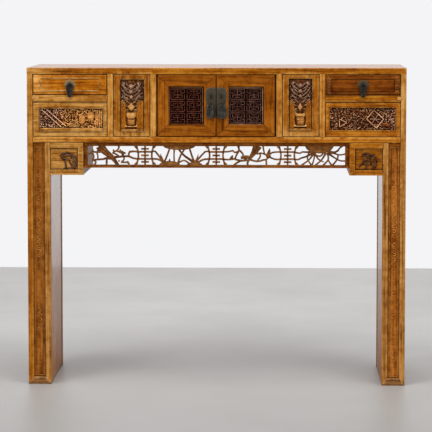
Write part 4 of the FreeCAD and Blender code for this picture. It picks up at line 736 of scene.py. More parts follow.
carvedPanels = {
    "left": {
        "inset": (0.0234, 0.0186, 0.0168, 0.0235),
        "board": {"look": "golden", "seed": 44.0, "wear": 0.7},
        "relief": {"look": "plumCarving", "seed": 56.0, "paintedShade": 0.12, "shade": 1.85,
                   "second": {"look": "carving", "axis": "x", "low": -0.455, "high": -0.41}},
        "smooth": {"look": "carving", "seed": 48.0, "wear": 0.9, "shadeReach": 0.0014, "shade": 1.9},
        "bed": {"look": "plumBed", "seed": 46.0, "wear": 0.0,
                "second": {"look": "bed", "axis": "x", "low": -0.455, "high": -0.41}},
        "spray": {"count": 460, "apart": 0.0037, "reach": (0.0020, 0.0036), "half": (0.0010, 0.0019)},
        "seed": 3,
        "sill": 0.16,
        "flutes": [((0.03, 0.97), (0.34, 0.20)), ((0.11, 0.97), (0.41, 0.25))],
        "fluteHalf": 0.0015,
        "fluteClear": 0.0042,
        "fruits": [((0.67, 0.53), 0.0096, 0.0135), ((0.805, 0.68), 0.0106, 0.0135)],
        "veins": (-0.4, 0.0, 0.4),
        "veinHalf": 0.0006,
        "clear": [((0.44, 0.26), (0.63, 0.26), 0.0060)],  # where no leaves grow
        "ribbons": [
            [(0.42, 0.20, 1.4), (0.48, 0.34, 2.8), (0.54, 0.29, 2.4), (0.59, 0.36, 2.8), (0.64, 0.20, 1.4)],
            [(0.46, 0.22, 1.8), (0.55, 0.24, 3.0), (0.63, 0.22, 1.6)],
            [(0.48, 0.40, 1.2), (0.54, 0.47, 2.2), (0.61, 0.42, 1.6)],
        ],
        "uprights": [0.885, 0.915, 0.945, 0.972],
    },
    "right": {
        "inset": (0.0167, 0.0240, 0.0185, 0.0200),
        "board": {"look": "amber", "seed": 45.0, "wear": 0.7, "shade": 1.15},
        "relief": {"look": "duskCarving", "seed": 57.0, "paintedShade": 0.22, "shade": 1.75,
                   "second": {"look": "plumCarving", "axis": "x", "low": 0.44, "high": 0.50}},
        "smooth": {"look": "red", "seed": 49.0, "wear": 0.9, "shadeReach": 0.003, "shade": 1.3},
        "bed": {"look": "duskBed", "seed": 47.0, "wear": 0.0},
        "spray": {"count": 420, "apart": 0.0040, "reach": (0.0022, 0.0040), "half": (0.0010, 0.0020)},
        "seed": 8,
        "lozenge": [(0.56, 0.50), (0.67, 0.89), (0.82, 0.50), (0.71, 0.10)],
        "lattice": [((0.62, 0.70), (0.76, 0.30)), ((0.74, 0.71), (0.64, 0.30)), ((0.61, 0.50), (0.77, 0.49))],
        "kite": [(0.15, 0.50), (0.26, 0.33), (0.15, 0.14)],
        "half": {"lozenge": 0.0014, "kite": 0.0012, "lattice": 0.0008},
        "edgeClear": 0.0034,
        "clear": [((0.64, 0.50), (0.74, 0.50), 0.0130), ((0.17, 0.36), (0.20, 0.32), 0.0080),
                  ((0.80, 0.20), (0.92, 0.16), 0.0055)],
        "ribbons": [
            [(0.31, 0.90, 1.8), (0.39, 0.92, 2.8), (0.47, 0.82, 2.2), (0.55, 0.78, 3.0), (0.61, 0.68, 1.4)],
            [(0.36, 0.80, 1.8), (0.42, 0.84, 3.2), (0.49, 0.76, 2.4), (0.56, 0.66, 1.8)],
            [(0.78, 0.20, 2.2), (0.84, 0.27, 4.4), (0.92, 0.16, 2.4)],
            [(0.20, 0.72, 1.4), (0.26, 0.62, 2.6), (0.33, 0.66, 1.6)],
        ],
    },
}


def scholarPieces(shape, field, panel):  # fluted case, fruits and uprights of the left panel
    clear = []
    for first, last in panel["flutes"]:
        first, last = field.at(*first), field.at(*last)
        shape.straight(first, last, panel["fluteHalf"], base, frontY + relief["top"], back, "round")
        clear.append((first, last, panel["fluteClear"]))
    skin = frontY + relief["fruit"]
    for place, wide, tall in panel["fruits"]:
        x, z = field.at(*place)
        shape.dome(x, z, wide, tall, base - 0.001, skin, back, 18)
        for lean in panel["veins"]:  # fine lines down the fruit
            head, foot = (x + lean * wide * 0.5, z + tall * 0.9), (x + lean * wide * 1.6, z - tall * 0.55)
            shape.straight(head, foot, panel["veinHalf"], skin + 0.0008, skin - 0.0012, back, "round")
        clear.append(((x, z - 0.001), (x, z + 0.001), wide * 1.2))
    for across in panel["uprights"]:
        line = [(across, 0.94, 0.9), (across + 0.006, 0.62, 1.4), (across - 0.004, 0.20, 0.9)]
        shape.stroke(field.path(line), base, frontY + relief["upright"], back, "round", 3)
    return clear


def lozengePieces(shape, field, panel):  # a lozenge with a lattice in it, and a kite, of the right panel
    clear = []
    for name in ("lozenge", "kite"):
        corners = [field.at(*corner) for corner in panel[name]]
        for first, last in zip(corners, corners[1:] + corners[:1]):
            shape.straight(first, last, panel["half"][name], base, frontY + relief[name], back)
            clear.append((first, last, panel["edgeClear"]))
    half, top = panel["half"]["lattice"], frontY + relief["lattice"]
    for first, last in panel["lattice"]:
        shape.straight(field.at(*first), field.at(*last), half, base, top, back)
    return clear


def carvedPanel(side):
    panel = carvedPanels[side]
    node = "carved_panel_" + side
    field = fieldOf(node, panel["inset"])
    board = Shape()
    sunkBoard(board, node, field)
    area = field.inside(0.0008, 0.0008, 0.0006, 0.0006)
    if side == "left":  # a plain sill under the carving
        spare, top = relief["spare"], frontY + relief["sill"]
        sill = Field(field.x0 + spare, field.z0 + spare, field.x1 - spare, field.at(0, panel["sill"])[1])
        board.nested(sill, [(0, back), (0, top + 0.0006), (0.0006, top)])
        area = Field(area.x0, sill.z1 + spare, area.x1, area.z1)
    carvedPiece("boardOf_" + node, board, woodFinish("board_" + side, grain="x", **panel["board"]), [node])
    shape = Shape()
    clear = (scholarPieces if side == "left" else lozengePieces)(shape, field, panel)
    clear += [(field.at(*first), field.at(*last), reach) for first, last, reach in panel["clear"]]
    smooth = Shape()  # ribbons and rocks, smoother than the leaves
    for ribbon in panel["ribbons"]:
        smooth.stroke(field.path(ribbon), base, crest, back, "leaf", 4)
    carvedPiece("ribbonsOf_" + node, smooth, woodFinish("ribbons_" + side, grain="x", **panel["smooth"]))
    leafSpray(shape, random.Random(panel["seed"]), area, clear, panel["spray"])
    # where the painted highlight on the crests is full
    rubbedAndPaintedLight = frontY + relief["rubbedAndPaintedLight"]
    finish = carvingFinish("relief_" + side, grain="x", ground=base, crest=rubbedAndPaintedLight, **panel["relief"])
    carvedPiece("reliefOf_" + node, shape, finish)
    bed = Shape()  # the ground that shows between the strokes, darker in tone and with painted shade near them
    bed.nested(area, bedSteps)
    carvedPiece("bedOf_" + node, bed, woodFinish("bed_" + side, grain="x", shadeReach=0.0055, **panel["bed"]))


for side in carvedPanels:
    carvedPanel(side)
print("carved panels made")

# Upright panels with a vase of flowers
vasePanels = {
    "left": {
        "seed": 21,
        "inset": (0.0239, 0.0194, 0.0215, 0.0200),
        "middle": 0.455,
        "board": {"look": "amber", "seed": 65.0, "wear": 0.6,
                  "second": {"look": "golden", "axis": "z", "low": 0.714, "high": 0.702}},
        "groundInner": [(1.0, 0.60), (0.55, 0.575), (0.42, 0.50), (0.50, 0.40), (0.42, 0.31), (0.48, 0.22),
                        (0.40, 0.15), (0.44, 0.055), (1.0, 0.045)],
        "rim": [(-0.25, 0.375), (0, 0.36), (0.25, 0.375), (0.19, 0.29), (0.13, 0.245), (-0.13, 0.245),
                (-0.19, 0.29)],
        "foot": [(-0.15, 0.235), (0.15, 0.235), (0.17, 0.15), (0.12, 0.12), (-0.12, 0.12), (-0.17, 0.15)],
        "diamond": [(0, 0.555), (0.16, 0.475), (0, 0.39), (-0.16, 0.475)],
        "bar": 0.095,
        "barHalf": 0.23,
    },
    "right": {
        "seed": 27,
        "inset": (0.0229, 0.0226, 0.0245, 0.0172),
        "middle": 0.49,
        "board": {"look": "amber", "seed": 66.0, "wear": 0.6,
                  "second": {"look": "golden", "axis": "z", "low": 0.714, "high": 0.702}},
        "groundInner": [(1.0, 0.585), (0.62, 0.58), (0.50, 0.50), (0.52, 0.40), (0.46, 0.31), (0.50, 0.20),
                        (0.42, 0.15), (0.52, 0.05), (1.0, 0.045)],
        "rim": [(-0.27, 0.36), (-0.14, 0.315), (0, 0.33), (0.14, 0.315), (0.27, 0.36), (0.19, 0.27),
                (-0.19, 0.27)],
        "foot": [(-0.15, 0.265), (0.15, 0.265), (0.18, 0.20), (0.14, 0.11), (-0.14, 0.11), (-0.18, 0.20)],
        "diamond": [(0, 0.54), (0.11, 0.455), (0, 0.37), (-0.11, 0.455)],
        "bar": 0.085,
        "barHalf": 0.23,
    },
}
foliage = {  # one half of it, as shares of the field from the middle line: first, last, half width in mm
    "spray": {"count": 150, "apart": 0.0044, "reach": (0.0018, 0.0032), "half": (0.0008, 0.0014)},
    "sprays": [
        ((0.03, 0.53), (0.28, 0.68), 2.2),
        ((0.04, 0.60), (0.42, 0.74), 2.3),
        ((0.04, 0.66), (0.44, 0.84), 2.2),
        ((0.04, 0.73), (0.34, 0.88), 1.9),
        ((0.05, 0.79), (0.43, 0.94), 2.1),
        ((0.03, 0.86), (0.22, 0.96), 1.7),
        ((0.12, 0.64), (0.30, 0.60), 1.7),
        ((0.24, 0.72), (0.44, 0.64), 1.8),
        ((0.14, 0.48), (0.32, 0.55), 1.8),
        ((0.06, 0.42), (0.28, 0.45), 1.6),
        ((0.10, 0.385), (0.26, 0.40), 1.3),
        ((0.30, 0.58), (0.44, 0.55), 1.5),
    ],
    "blossoms": [((0, 0.87), 0.0040), ((0, 0.765), 0.0034), ((0, 0.66), 0.0030), ((0.30, 0.92), 0.0026)],
}
vaseDepth = {  # of the highest places, behind the front of the posts
    "ground": 0.0034,
    "scroll": 0.0018,
    "spray": 0.0010,
    "curl": 0.0020,
    "foot": 0.0047,
    "rim": 0.0034,
    "diamond": 0.0036,
    "band": 0.0046,
    "bar": 0.0006,
    "knob": 0.0002,
    "boss": 0.0010,
    "blossom": 0.0026,
    "petal": 0.0034,
}
vaseWood = {  # settings of the materials that both panels use
    "ground": {"look": "amber", "ground": frontY + 0.0064, "crest": frontY + 0.0006, "seed": 66.0,
               "paintedShade": 0.8},
    "relief": {"look": "carving", "ground": base, "crest": frontY + 0.0022, "seed": 71.0, "shade": 1.32,
               "paintedShade": 0.28, "second": {"look": "plumCarving", "axis": "z", "low": 0.765, "high": 0.80}},
    "bed": {"look": "bed", "seed": 73.0, "wear": 0.0, "shadeReach": 0.0055},
}
vaseSize = {  # half sizes in metres, and where the bosses sit as shares of the field
    "bar": 0.0014,
    "knob": 0.0028,
    "bossWide": 0.0017,
    "bossTall": 0.0013,
    "bossAside": 0.075,
    "bossHeights": (0.21, 0.17),
}
scrollCuts = {"count": 5, "first": 0.53, "apart": 0.10}
groundEdge = {-1: 0.03, 1: 0.97}  # where the ground ends on each side


def beside(panel, way, points):  # places given from the middle line of a vase, on one side of it
    return [(panel["middle"] + way * across, *rest) for across, *rest in points]


def vaseGround(node, field, panel):  # golden ground left standing on both sides of the vase
    shape = Shape()
    top = frontY + vaseDepth["ground"]
    for way in (-1, 1):
        points = []
        for across, up in panel["groundInner"]:
            share = panel["middle"] + way * across * 0.5 if across < 1.0 else groundEdge[way]
            points.append(field.at(share, up))
        shape.outline(points, middleOf(points), [(1.0, base), (1.0, top + 0.0006), (0.94, top)])
        for number in range(scrollCuts["count"]):  # cuts along the ground
            up = scrollCuts["first"] - scrollCuts["apart"] * number
            scroll = [(0.30, up, 0.5), (0.37, up - 0.02, 1.1), (0.34, up - 0.06, 0.9), (0.41, up - 0.07, 0.4)]
            low, high, behind = top + 0.0002, frontY + vaseDepth["scroll"], top + 0.0006
            shape.stroke(field.path(beside(panel, way, scroll)), low, high, behind, "round", 3)
    carvedPiece("groundOf_" + node, shape, carvingFinish("ground_" + node, grain="z", **vaseWood["ground"]))


def flowers(shape, field, panel):
    for way in (-1, 1):
        for (fromX, fromZ), (toX, toZ), half in foliage["sprays"]:
            blade = [(fromX, fromZ, half * 0.45), ((fromX + toX) / 2 + 0.03, (fromZ + toZ) / 2 - 0.02, half),
                     (toX, toZ, half * 0.35)]
            curl = [(toX * 0.9, toZ - 0.03, half * 0.5), (toX * 0.8, toZ - 0.055, half * 0.8),
                    (toX * 0.62, toZ - 0.045, half * 0.3)]  # below its tip
            for line, name, section, steps in ((blade, "spray", "leaf", 4), (curl, "curl", "round", 3)):
                path = field.path(beside(panel, way, line))
                shape.stroke(path, base, frontY + vaseDepth[name], back, section, steps)
        for (across, up), wide in foliage["blossoms"]:
            if way > 0 or across > 0:
                x, z = field.at(panel["middle"] + way * across, up)
                shape.dome(x, z, wide, wide, base - 0.002, frontY + vaseDepth["blossom"], back, 12)
                for cosine, sine in circle(6, 0.4):
                    shape.dome(x + cosine * wide * 1.25, z + sine * wide * 1.25, wide * 0.62, wide * 0.62,
                               base - 0.002, frontY + vaseDepth["petal"], back, 8)


def vase(shape, field, panel):
    middle = panel["middle"]
    for name in ("foot", "rim", "diamond"):
        points = [field.at(middle + across, up) for across, up in panel[name]]
        front = frontY + vaseDepth[name]
        steps = [(1.0, back), (1.0, front + 0.0016), (0.80, front + 0.0004), (0.45, front)]
        shape.outline(points, middleOf(points), steps)
    half, up = panel["barHalf"], panel["bar"]
    first, last = field.at(middle - half, up), field.at(middle + half, up)
    shape.straight(first, last, vaseSize["bar"], base, frontY + vaseDepth["bar"], back, "round")
    knob, wide, tall = vaseSize["knob"], vaseSize["bossWide"], vaseSize["bossTall"]
    for way in (-1, 1):
        x, z = field.at(middle + way * half, up + 0.01)
        shape.dome(x, z, knob, knob, base - 0.003, frontY + vaseDepth["knob"], back, 12)
        for height in vaseSize["bossHeights"]:  # on the body of the vase
            x, z = field.at(middle + way * vaseSize["bossAside"], height)
            shape.dome(x, z, wide, tall, base - 0.003, frontY + vaseDepth["boss"], back, 8)


def vasePanel(side):
    panel = vasePanels[side]
    node = "vase_panel_" + side
    field = fieldOf(node, panel["inset"])
    board = Shape()
    sunkBoard(board, node, field)
    carvedPiece("boardOf_" + node, board, woodFinish("board_" + node, grain="z", **panel["board"]), [node])
    vaseGround(node, field, panel)
    shape = Shape()
    flowers(shape, field, panel)
    vase(shape, field, panel)
    area = Field(*field.at(0.02, 0.60), *field.at(0.98, 0.94))
    leafSpray(shape, random.Random(panel["seed"]), area, [], foliage["spray"])
    band = Field(*field.at(0.02, 0.005), *field.at(0.98, 0.045))
    front = frontY + vaseDepth["band"]
    shape.nested(band, [(0, back), (0, front + 0.0004), (0.0005, front)])
    carvedPiece("reliefOf_" + node, shape, carvingFinish("relief_" + node, grain="z", **vaseWood["relief"]))
    bed = Shape()
    bed.nested(field.within(0.0004), bedSteps)
    carvedPiece("bedOf_" + node, bed, woodFinish("bed_" + node, grain="z", **vaseWood["bed"]))


for side in vasePanels:
    vasePanel(side)
print("vase panels made")

# Pierced apron
apron = {
    "crest": 0.0024,  # from a stroke's shoulder to its top
    "top": 0.0002,  # from a stroke's top to the front of the board
    "rim": 0.003,
    "margin": 0.0012,  # the middle of a stroke stays this far inside the board
    "pitch": 0.198,  # from one divider to the next
    "dividerHalf": 0.022,
    "bar": 0.0025,
    "weight": 1.2,  # how much wider the strokes are cut than drawn
    "smallest": 0.0006,
    "knot": 0.0026,
    "petals": 9,
    "backSpare": 0.0005,
}
branches = {  # first, middle and last place as shares of a field, then the widths as shares of its height
    "plum": [
        ((0.24, 1.03), (0.34, 0.72), (0.49, 0.39), (0.42, 0.30, 0.22)),
        ((0.49, 0.39), (0.55, 0.20), (0.61, -0.04), (0.22, 0.16, 0.14)),
        ((0.48, 0.38), (0.66, 0.43), (0.85, 0.46), (0.14, 0.09, 0.09)),
        ((0.83, 0.45), (0.92, 0.35), (1.02, 0.30), (0.09, 0.08, 0.08)),
        ((0.83, 0.43), (0.83, 0.57), (0.85, 0.70), (0.08, 0.08, 0.09)),
        ((0.84, 0.69), (0.93, 0.71), (1.02, 0.69), (0.10, 0.08, 0.08)),
        ((0.70, 0.42), (0.71, 0.55), (0.69, 0.74), (0.07, 0.12, 0.08)),
        ((0.63, 0.70), (0.70, 0.66), (0.77, 0.60), (0.06, 0.10, 0.06)),
        ((0.50, 0.63), (0.58, 0.73), (0.68, 0.63), (0.08, 0.08, 0.08)),
        ((0.50, 0.62), (0.58, 0.55), (0.64, 0.42), (0.06, 0.07, 0.06)),
        ((0.63, 1.03), (0.62, 0.85), (0.56, 0.71), (0.09, 0.08, 0.07)),
        ((0.34, 0.72), (0.21, 0.67), (0.08, 0.69), (0.10, 0.08, 0.08)),
        ((0.10, 0.68), (0.04, 0.61), (-0.03, 0.58), (0.08, 0.07, 0.06)),
        ((0.17, 0.68), (0.20, 0.50), (0.20, 0.28), (0.07, 0.06, 0.06)),
        ((0.08, 0.66), (0.12, 0.45), (0.09, 0.25), (0.07, 0.07, 0.07)),
        ((0.08, 0.26), (0.20, 0.27), (0.33, 0.30), (0.07, 0.08, 0.08)),
        ((0.31, 0.29), (0.37, 0.34), (0.46, 0.33), (0.09, 0.10, 0.12)),
        ((0.38, 0.35), (0.38, 0.16), (0.38, -0.04), (0.06, 0.09, 0.06)),
        ((0.10, 0.27), (0.16, 0.13), (0.12, -0.04), (0.07, 0.08, 0.07)),
        ((0.73, 0.42), (0.73, 0.27), (0.68, 0.14), (0.06, 0.07, 0.09)),
        ((0.67, 0.14), (0.75, 0.12), (0.82, 0.15), (0.09, 0.07, 0.10)),
        ((0.80, 0.15), (0.83, 0.05), (0.82, -0.04), (0.10, 0.08, 0.07)),
    ],
    "orchid": [
        ((0.19, 0.12), (0.11, 0.46), (0.04, 0.72), (0.11, 0.08, 0.07)),
        ((0.05, 0.71), (0.01, 0.72), (-0.04, 0.69), (0.07, 0.07, 0.07)),
        ((0.19, 0.12), (0.16, 0.36), (0.13, 0.58), (0.09, 0.07, 0.02)),
        ((0.20, 0.12), (0.09, 0.29), (-0.03, 0.31), (0.09, 0.08, 0.08)),
        ((0.20, 0.12), (0.25, 0.45), (0.30, 0.86), (0.09, 0.08, 0.08)),
        ((0.28, 0.12), (0.30, 0.22), (0.30, 0.33), (0.12, 0.08, 0.02)),
        ((0.385, 0.84), (0.38, 0.50), (0.385, 0.12), (0.08, 0.06, 0.08)),
        ((0.45, 0.08), (0.50, 0.50), (0.58, 0.88), (0.09, 0.08, 0.08)),
        ((0.46, 0.84), (0.57, 0.48), (0.75, 0.12), (0.07, 0.09, 0.12)),
        ((0.46, 0.10), (0.56, 0.23), (0.66, 0.06), (0.07, 0.07, 0.07)),
        ((0.75, 0.12), (0.71, 0.42), (0.66, 0.88), (0.10, 0.08, 0.08)),
        ((0.76, 0.12), (0.80, 0.36), (0.82, 0.57), (0.10, 0.07, 0.02)),
        ((0.76, 0.12), (0.87, 0.48), (0.94, 0.70), (0.10, 0.08, 0.08)),
        ((0.93, 0.69), (0.98, 0.72), (1.04, 0.69), (0.07, 0.07, 0.07)),
        ((0.80, 0.10), (0.91, 0.28), (1.04, 0.31), (0.10, 0.08, 0.08)),
    ],
    "bamboo": [
        ((-0.04, 0.69), (0.08, 0.71), (0.16, 0.77), (0.07, 0.07, 0.07)),
        ((0.15, 0.78), (0.19, 0.67), (0.25, 0.72), (0.07, 0.07, 0.07)),
        ((0.24, 0.70), (0.27, 0.76), (0.31, 0.70), (0.07, 0.08, 0.07)),
        ((0.26, 1.03), (0.26, 0.90), (0.28, 0.73), (0.13, 0.09, 0.08)),
        ((0.26, 0.74), (0.22, 0.52), (0.19, 0.28), (0.10, 0.08, 0.08)),
        ((0.29, 0.74), (0.34, 0.55), (0.32, 0.36), (0.08, 0.08, 0.09)),
        ((0.30, 0.37), (0.39, 0.42), (0.50, 0.38), (0.12, 0.15, 0.13)),
        ((0.38, 0.38), (0.38, 0.30), (0.38, 0.24), (0.14, 0.14, 0.12)),
        ((-0.04, 0.31), (0.08, 0.28), (0.20, 0.33), (0.08, 0.07, 0.08)),
        ((0.12, 0.31), (0.14, 0.42), (0.15, 0.52), (0.14, 0.11, 0.02)),
        ((0.19, 0.30), (0.33, 0.22), (0.47, 0.28), (0.08, 0.08, 0.08)),
        ((0.46, 0.28), (0.60, 0.19), (0.72, 0.28), (0.08, 0.08, 0.08)),
        ((0.71, 0.27), (0.76, 0.30), (0.80, 0.42), (0.08, 0.07, 0.08)),
        ((0.17, -0.04), (0.24, 0.13), (0.33, 0.24), (0.09, 0.08, 0.07)),
        ((0.43, -0.04), (0.42, 0.12), (0.46, 0.30), (0.09, 0.09, 0.08)),
        ((0.60, 1.03), (0.54, 0.68), (0.46, 0.35), (0.42, 0.26, 0.13)),
        ((0.70, 1.03), (0.71, 0.80), (0.73, 0.56), (0.08, 0.07, 0.07)),
        ((0.58, 0.58), (0.66, 0.63), (0.74, 0.56), (0.08, 0.07, 0.07)),
        ((0.73, 0.56), (0.80, 0.55), (0.87, 0.67), (0.08, 0.08, 0.07)),
        ((0.86, 0.66), (0.94, 0.69), (1.04, 0.69), (0.07, 0.07, 0.07)),
        ((0.79, 0.56), (0.81, 0.72), (0.82, 0.88), (0.14, 0.12, 0.02)),
        ((0.64, 0.60), (0.65, 0.45), (0.60, 0.24), (0.07, 0.07, 0.07)),
        ((0.76, 0.40), (0.79, 0.44), (0.84, 0.44), (0.12, 0.16, 0.12)),
        ((0.80, 0.56), (0.79, 0.50), (0.80, 0.42), (0.08, 0.08, 0.08)),
        ((0.82, 0.42), (0.92, 0.30), (1.04, 0.31), (0.08, 0.07, 0.08)),
        ((0.75, 0.32), (0.76, 0.14), (0.76, -0.04), (0.08, 0.08, 0.09)),
    ],
    "daisy": [
        ((0.40, 0.72), (0.24, 0.69), (0.13, 0.70), (0.12, 0.08, 0.07)),
        ((0.14, 0.71), (0.08, 0.63), (-0.03, 0.69), (0.07, 0.07, 0.07)),
        ((0.40, 0.70), (0.22, 0.46), (0.10, 0.36), (0.12, 0.08, 0.07)),
        ((0.11, 0.37), (0.05, 0.29), (-0.03, 0.31), (0.07, 0.07, 0.07)),
        ((0.27, 0.64), (0.24, 0.33), (0.33, -0.04), (0.07, 0.07, 0.07)),
        ((0.38, 0.66), (0.27, 0.28), (0.11, -0.04), (0.10, 0.07, 0.08)),
        ((0.39, 0.66), (0.37, 0.30), (0.33, -0.04), (0.09, 0.06, 0.08)),
        ((0.39, 0.62), (0.46, 0.32), (0.57, 0.16), (0.08, 0.07, 0.05)),
        ((0.41, 0.52), (0.50, 0.48), (0.58, 0.68), (0.07, 0.07, 0.07)),
        ((0.62, 0.66), (0.52, 0.26), (0.39, -0.04), (0.10, 0.07, 0.08)),
        ((0.64, 0.66), (0.66, 0.30), (0.55, -0.04), (0.10, 0.07, 0.08)),
        ((0.66, 0.42), (0.67, 0.22), (0.74, -0.04), (0.07, 0.07, 0.08)),
        ((0.64, 0.66), (0.77, 0.42), (0.84, 0.31), (0.12, 0.07, 0.07)),
        ((0.83, 0.32), (0.91, 0.23), (1.02, 0.22), (0.07, 0.06, 0.07)),
        ((0.64, 0.68), (0.78, 0.62), (0.87, 0.54), (0.12, 0.07, 0.07)),
        ((0.86, 0.55), (0.93, 0.55), (1.02, 0.60), (0.07, 0.06, 0.07)),
        ((0.64, 0.74), (0.78, 0.68), (0.87, 0.80), (0.14, 0.09, 0.08)),
        ((0.86, 0.78), (0.89, 0.90), (0.95, 1.03), (0.08, 0.07, 0.09)),
        ((0.86, 0.56), (0.84, 0.30), (0.74, -0.04), (0.07, 0.07, 0.08)),
    ],
}
mounds = {  # from, to, foot and crown: rocks and a flower head that grow from the rim
    "orchid": [(0.17, 0.78, 1.02, 0.79), (0.10, 0.50, -0.03, 0.20), (0.60, 0.90, -0.03, 0.15)],
    "daisy": [(0.18, 0.78, 1.02, 0.62)],
}
knots = {  # small bosses on the plum branches
    "plum": [(0.10, 0.76), (0.20, 0.76), (0.10, 0.28), (0.52, 0.77), (0.66, 0.77), (0.52, 0.20), (0.63, 0.20),
             (0.36, 0.62), (0.28, 0.90)],
}
divider = {
    "levels": (0.15, 0.50, 0.85),
    "links": (0.31, 0.69),
    "reach": 0.24,
    "bows": [
        [(-0.54, 1.03), (-0.42, 0.50), (-0.54, -0.03)],
        [(-0.66, 1.03), (-0.58, 0.93), (-0.50, 0.90)],
        [(-0.66, -0.03), (-0.58, 0.07), (-0.50, 0.10)],
    ],
}
apronBox = fieldOf("apron_fretwork")
apronInner = apronBox.within(apron["rim"])
apronFace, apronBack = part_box("apron_fretwork")[0][1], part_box("apron_fretwork")[1][1]
shoulder = apronFace + apron["crest"]
apronRear = apronBack - apron["backSpare"]


def apronStroke(shape, points, section, steps):
    kept = [(*apronBox.keep(x, z, apron["margin"]), max(half, apron["smallest"])) for x, z, half in points]
    shape.stroke(kept, shoulder, apronFace + apron["top"], apronRear, section, steps)


def bough(shape, field, branch):
    first, middle, last, widths = branch
    tall = field.z1 - field.z0
    points = []
    for place, width in zip((first, middle, last), widths):
        points.append((*field.at(*place), width * apron["weight"] * tall / 2))
    leafy = widths[0] > 0.05 and max(widths) > 0.11
    apronStroke(shape, points, "leaf" if leafy else "round", 5)


def mound(shape, field, start, end, foot, crown):
    def edge(share, reach=1.0):
        bulge = (1 - (2 * share - 1) ** 2) ** 0.6
        return field.at(start + (end - start) * share, foot + (crown - foot) * bulge * reach)

    points = [edge(step / 10) for step in range(11)]
    centre = field.at((start + end) / 2, foot * 0.7 + crown * 0.3)
    steps = [(1.0, apronRear), (1.0, shoulder), (0.90, apronFace + 0.0006), (0.55, apronFace + 0.0003)]
    shape.outline(points, centre, steps)
    for number in range(apron["petals"]):
        share = (number + 0.5) / apron["petals"]
        tip = edge(share, 0.92)
        heel = field.at((start + end) / 2 + (share - 0.5) * 0.16, foot)
        petal = [(*heel, 0.0008), (*middleOf([tip, heel]), 0.0016), (*tip, 0.0007)]
        apronStroke(shape, petal, "round", 3)


def dividerBars(shape, middle):  # a longevity sign between two bowed uprights
    unit = Field(middle - apron["dividerHalf"], apronInner.z0, middle + apron["dividerHalf"], apronInner.z1)
    rods = [((0, -0.03), (0, 1.03))]
    rods += [((-divider["reach"], level), (divider["reach"], level)) for level in divider["levels"]]
    rods += [((-0.5, level), (0.5, level)) for level in divider["links"]]
    bar = apron["bar"]
    for first, last in rods:
        first, last = unit.at(first[0] + 0.5, first[1]), unit.at(last[0] + 0.5, last[1])
        apronStroke(shape, barLine(first, last, bar), "flat", 2)
    for way in (-1, 1):
        for line in divider["bows"]:
            apronStroke(shape, [(*unit.at(0.5 - way * across, up), bar) for across, up in line], "flat", 5)


def apronCarving():
    shape = Shape()
    outer, inner = apron["pitch"] + apron["dividerHalf"], apron["pitch"] - apron["dividerHalf"]
    spans = {
        "plum": (apronInner.x0, -outer),
        "orchid": (-inner, -apron["dividerHalf"]),
        "bamboo": (apron["dividerHalf"], inner),
        "daisy": (outer, apronInner.x1),
    }
    for kind, (left, right) in spans.items():
        field = Field(left, apronInner.z0, right, apronInner.z1)
        for branch in branches[kind]:
            bough(shape, field, branch)
        for item in mounds.get(kind, []):
            mound(shape, field, *item)
        for place in knots.get(kind, []):
            x, z = field.at(*place)
            shape.dome(x, z, apron["knot"], apron["knot"], shoulder, apronFace, apronBack - 0.001, 10)
    for middle in (-apron["pitch"], 0.0, apron["pitch"]):
        dividerBars(shape, middle)
    eased = apronFace + 0.0005
    steps = [(0, apronBack), (0, eased), (0.17, apronFace), (0.83, apronFace), (1, eased), (1, apronBack)]
    shape.skin(framed(apronBox, apronInner, steps), closed=True)
    finish = carvingFinish("apronWood", "apron", "x", shoulder + 0.0010, apronFace, 81.0, rough=0.30,
                           rear=apronBack)
    carvedPiece("apronCarving", shape, finish, ["apron_fretwork"])


apronCarving()
print("apron made")

